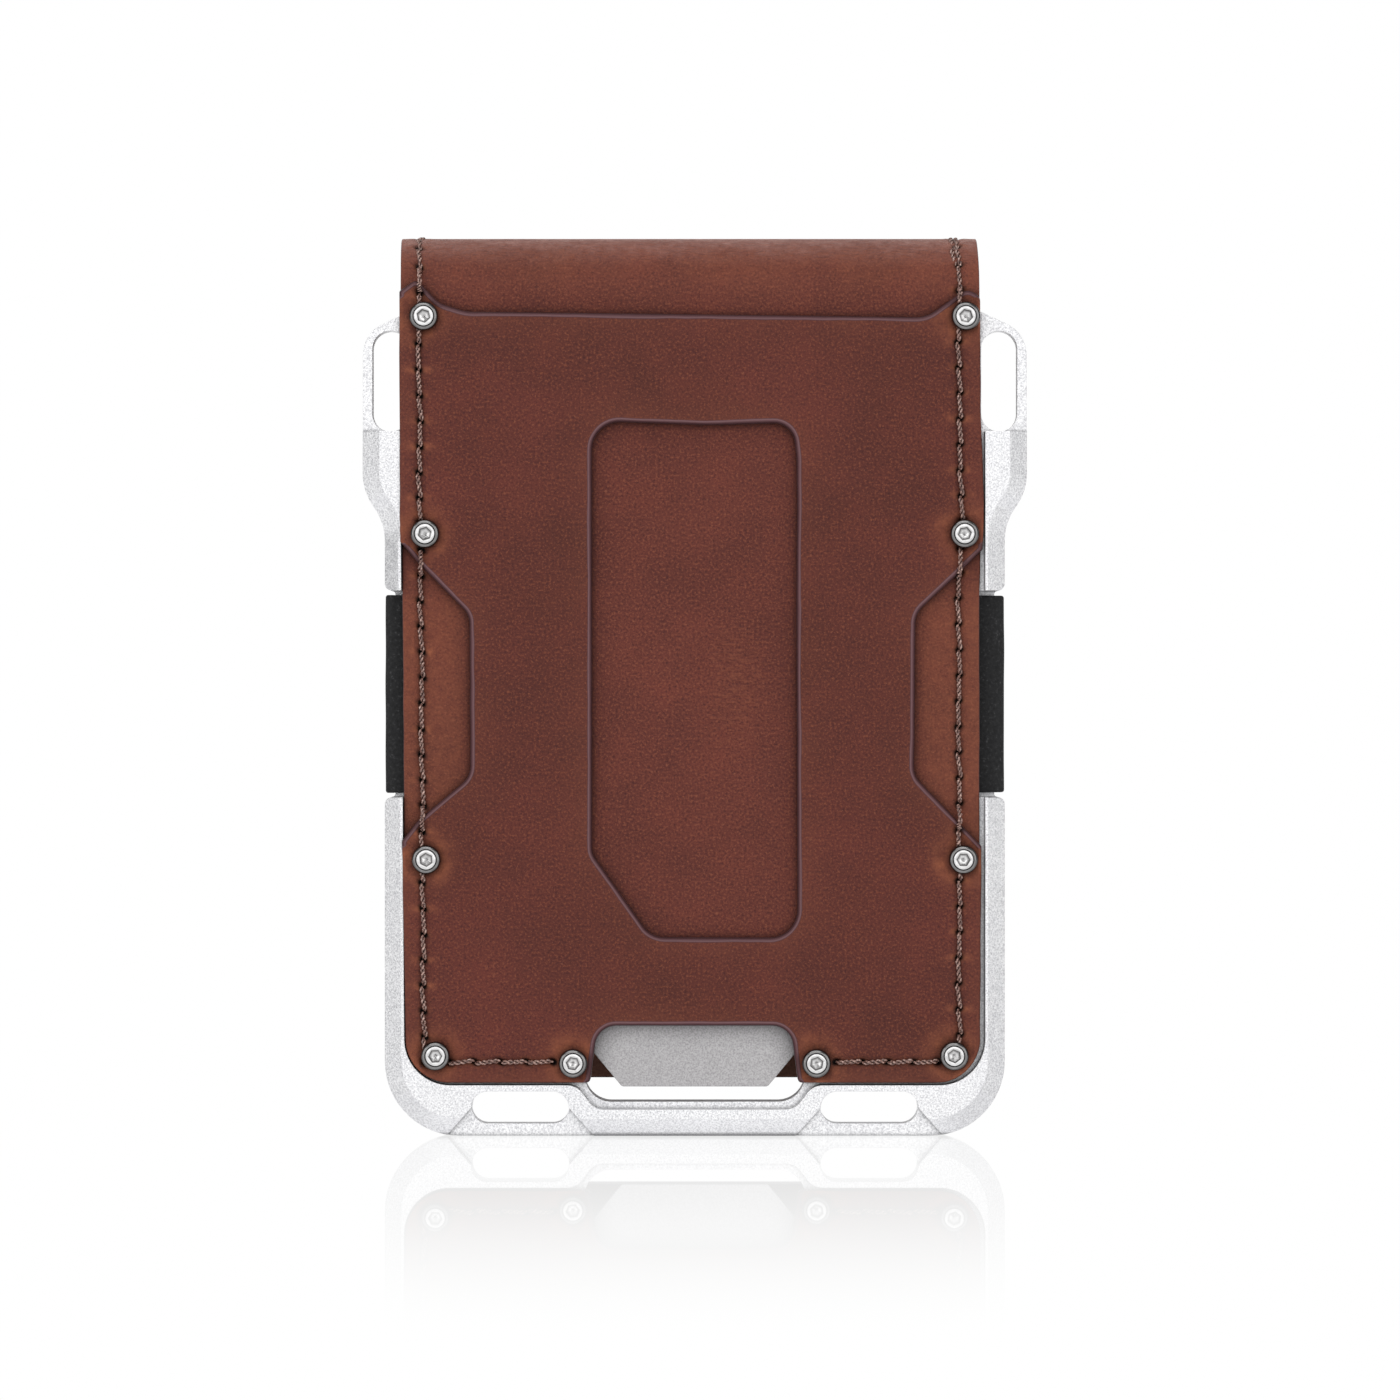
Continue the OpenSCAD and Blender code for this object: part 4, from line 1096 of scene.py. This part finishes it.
# the seams are locked with a second strand beside the first near the crown
frontRuns = [strand(leftHoles, 0, frontEnd), strand(rightHoles, 0, frontEnd), bottomLeft, bottomRight,
             strand(rightHoles, 99.0, frontEnd, -0.58), strand(leftHoles, 103, frontEnd, 0.3)]
rearRuns = [strand(leftHoles, rearStart, flatTop), strand(rightHoles, rearStart, flatTop), rearBottom,
            strand(rightHoles, rearStart, foldEnd, -0.58), strand(leftHoles, rearStart, foldEnd, 0.3)]
points, attributes = stitchesFor(frontRuns)
frontStitches = runNodes("frontStitches", threads, points, attributes, {**stitchSettings, "Thread": brownThread})
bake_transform(frontStitches)
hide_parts("front_seam_left", "front_seam_right", "front_seam_bottom_left", "front_seam_bottom_right")
points, attributes = stitchesFor(rearRuns)
rearStitches = runNodes("rearStitches", threads, points, attributes, {**stitchSettings, "Thread": brownThread})
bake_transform(rearStitches)
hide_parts("spine_seams", "rear_seam_left", "rear_seam_right", "rear_seam_bottom")
print("stitches made")


# metres; the mirror image shows in a patch round the object and is strongest right under it
floorSettings = {"front": -6.0, "bend": 0.7, "radius": 0.5, "top": 1.1, "halfWidth": 0.75, "mirror": 0.28,
                 "mirrorRoughness": 0.012, "mirrorFront": -0.26, "mirrorBehind": (0.02, 0.12),
                 "mirrorBeside": (0.05, 0.13)}


def sweepFloor():
    s = floorSettings
    bend, radius = s["bend"], s["radius"]
    profile = [(s["front"], 0.0), (bend - 0.1, 0.0), (bend, 0.0)]
    profile += [(bend + radius * math.sin(a), radius - radius * math.cos(a))
                for a in [math.radians(x) for x in range(10, 91, 10)]]
    profile += [(bend + radius, s["top"])]
    verts = [(x, y, z) for y, z in profile for x in (-s["halfWidth"], s["halfWidth"])]
    faces = [(2 * k, 2 * k + 1, 2 * k + 3, 2 * k + 2) for k in range(len(profile) - 1)]
    mesh = bpy.data.meshes.new("paleFloor")
    mesh.from_pydata(verts, [], faces)
    mesh.shade_smooth()
    # backlit white acrylic: evenly white, with a faint mirror image that dies away from the object
    material = bpy.data.materials.new("backlitWhiteAcrylic")
    material.use_nodes = True
    tree = material.node_tree
    tree.nodes.clear()
    place = addNode(tree, "ShaderNodeTexCoord").outputs["Object"]
    parts = addNode(tree, "ShaderNodeSeparateXYZ", links={"Vector": place})
    depth = parts.outputs["Y"]
    near = addNode(tree, "ShaderNodeMapRange",
                   {"From Min": s["mirrorFront"], "From Max": 0.0, "To Max": s["mirror"]}, {"Value": depth}, interpolation_type="SMOOTHSTEP")
    glow = addNode(tree, "ShaderNodeEmission", {"Color": (1, 1, 1, 1), "Strength": 1.0})
    gloss = addNode(tree, "ShaderNodeBsdfGlossy", {"Color": (1, 1, 1, 1), "Roughness": s["mirrorRoughness"]})
    low, high = s["mirrorBehind"]
    ahead = addNode(tree, "ShaderNodeMapRange", {"From Min": low, "From Max": high, "To Min": 1.0, "To Max": 0.0},
                    {"Value": depth}, interpolation_type="SMOOTHSTEP")
    aside = addNode(tree, "ShaderNodeMath", {}, {0: parts.outputs["X"]}, operation="ABSOLUTE")
    low, high = s["mirrorBeside"]
    beside = addNode(tree, "ShaderNodeMapRange",
                     {"From Min": low, "From Max": high, "To Min": 1.0, "To Max": 0.0},
                     {"Value": aside.outputs[0]}, interpolation_type="SMOOTHSTEP")
    patch = addNode(tree, "ShaderNodeMath", {}, {0: ahead.outputs["Result"], 1: beside.outputs["Result"]},
                    operation="MULTIPLY")
    mirror = addNode(tree, "ShaderNodeMath", {}, {0: near.outputs["Result"], 1: patch.outputs[0]},
                     operation="MULTIPLY")
    both = addNode(tree, "ShaderNodeMixShader", {},
                   {0: mirror.outputs[0], 1: glow.outputs[0], 2: gloss.outputs[0]})
    addNode(tree, "ShaderNodeOutputMaterial", {}, {"Surface": both.outputs[0]})
    mesh.materials.append(material)
    obj = addObject("paleFloor", mesh)


def softLight(name, place, size, brightness):  # brightness of the panel's face; 1 is paper white
    target = (0, 0, 0.05)
    light = bpy.data.lights.new(name, "AREA")
    light.shape = "RECTANGLE"
    light.size, light.size_y = size
    light.energy = brightness * math.pi * size[0] * size[1]
    obj = addObject(name, light)
    obj.location = place
    obj.rotation_euler = (Vector(target) - Vector(place)).to_track_quat("-Z", "Y").to_euler()


sweepFloor()
softLight("frontSoftbox", (0.0, -1.7, 0.5), (2.0, 1.6), 1.15)
softLight("leftSoftbox", (-1.15, -0.75, 0.35), (0.9, 1.2), 1.5)
softLight("rightSoftbox", (1.15, -0.75, 0.35), (0.9, 1.2), 1.42)
softLight("topSoftbox", (-0.15, -0.45, 1.15), (1.2, 0.8), 1.9)
world = bpy.data.worlds.new("studio")
world.use_nodes = True
world.node_tree.nodes["Background"].inputs["Color"].default_value = (1, 1, 1, 1)
world.node_tree.nodes["Background"].inputs["Strength"].default_value = 0.3
bpy.context.scene.world = world
bpy.context.scene.view_settings.view_transform = "Standard"

# metres, but for the sensor in millimetres; view is the width seen at the pocket's face
cameraSettings = {"distance": 0.8, "x": 0.0006, "z": 0.0502, "view": 0.1609, "sensor": 36}
camera = bpy.data.cameras.new("camera")
camera.sensor_width = cameraSettings["sensor"]
camera.lens = cameraSettings["sensor"] * cameraSettings["distance"] / cameraSettings["view"]
camera.clip_start = 0.05
cameraObject = addObject("camera", camera)
cameraObject.location = (cameraSettings["x"], pocketY * mm - cameraSettings["distance"], cameraSettings["z"])
cameraObject.rotation_euler = (math.pi / 2, 0, 0)
bpy.context.scene.camera = cameraObject
print("stage made")
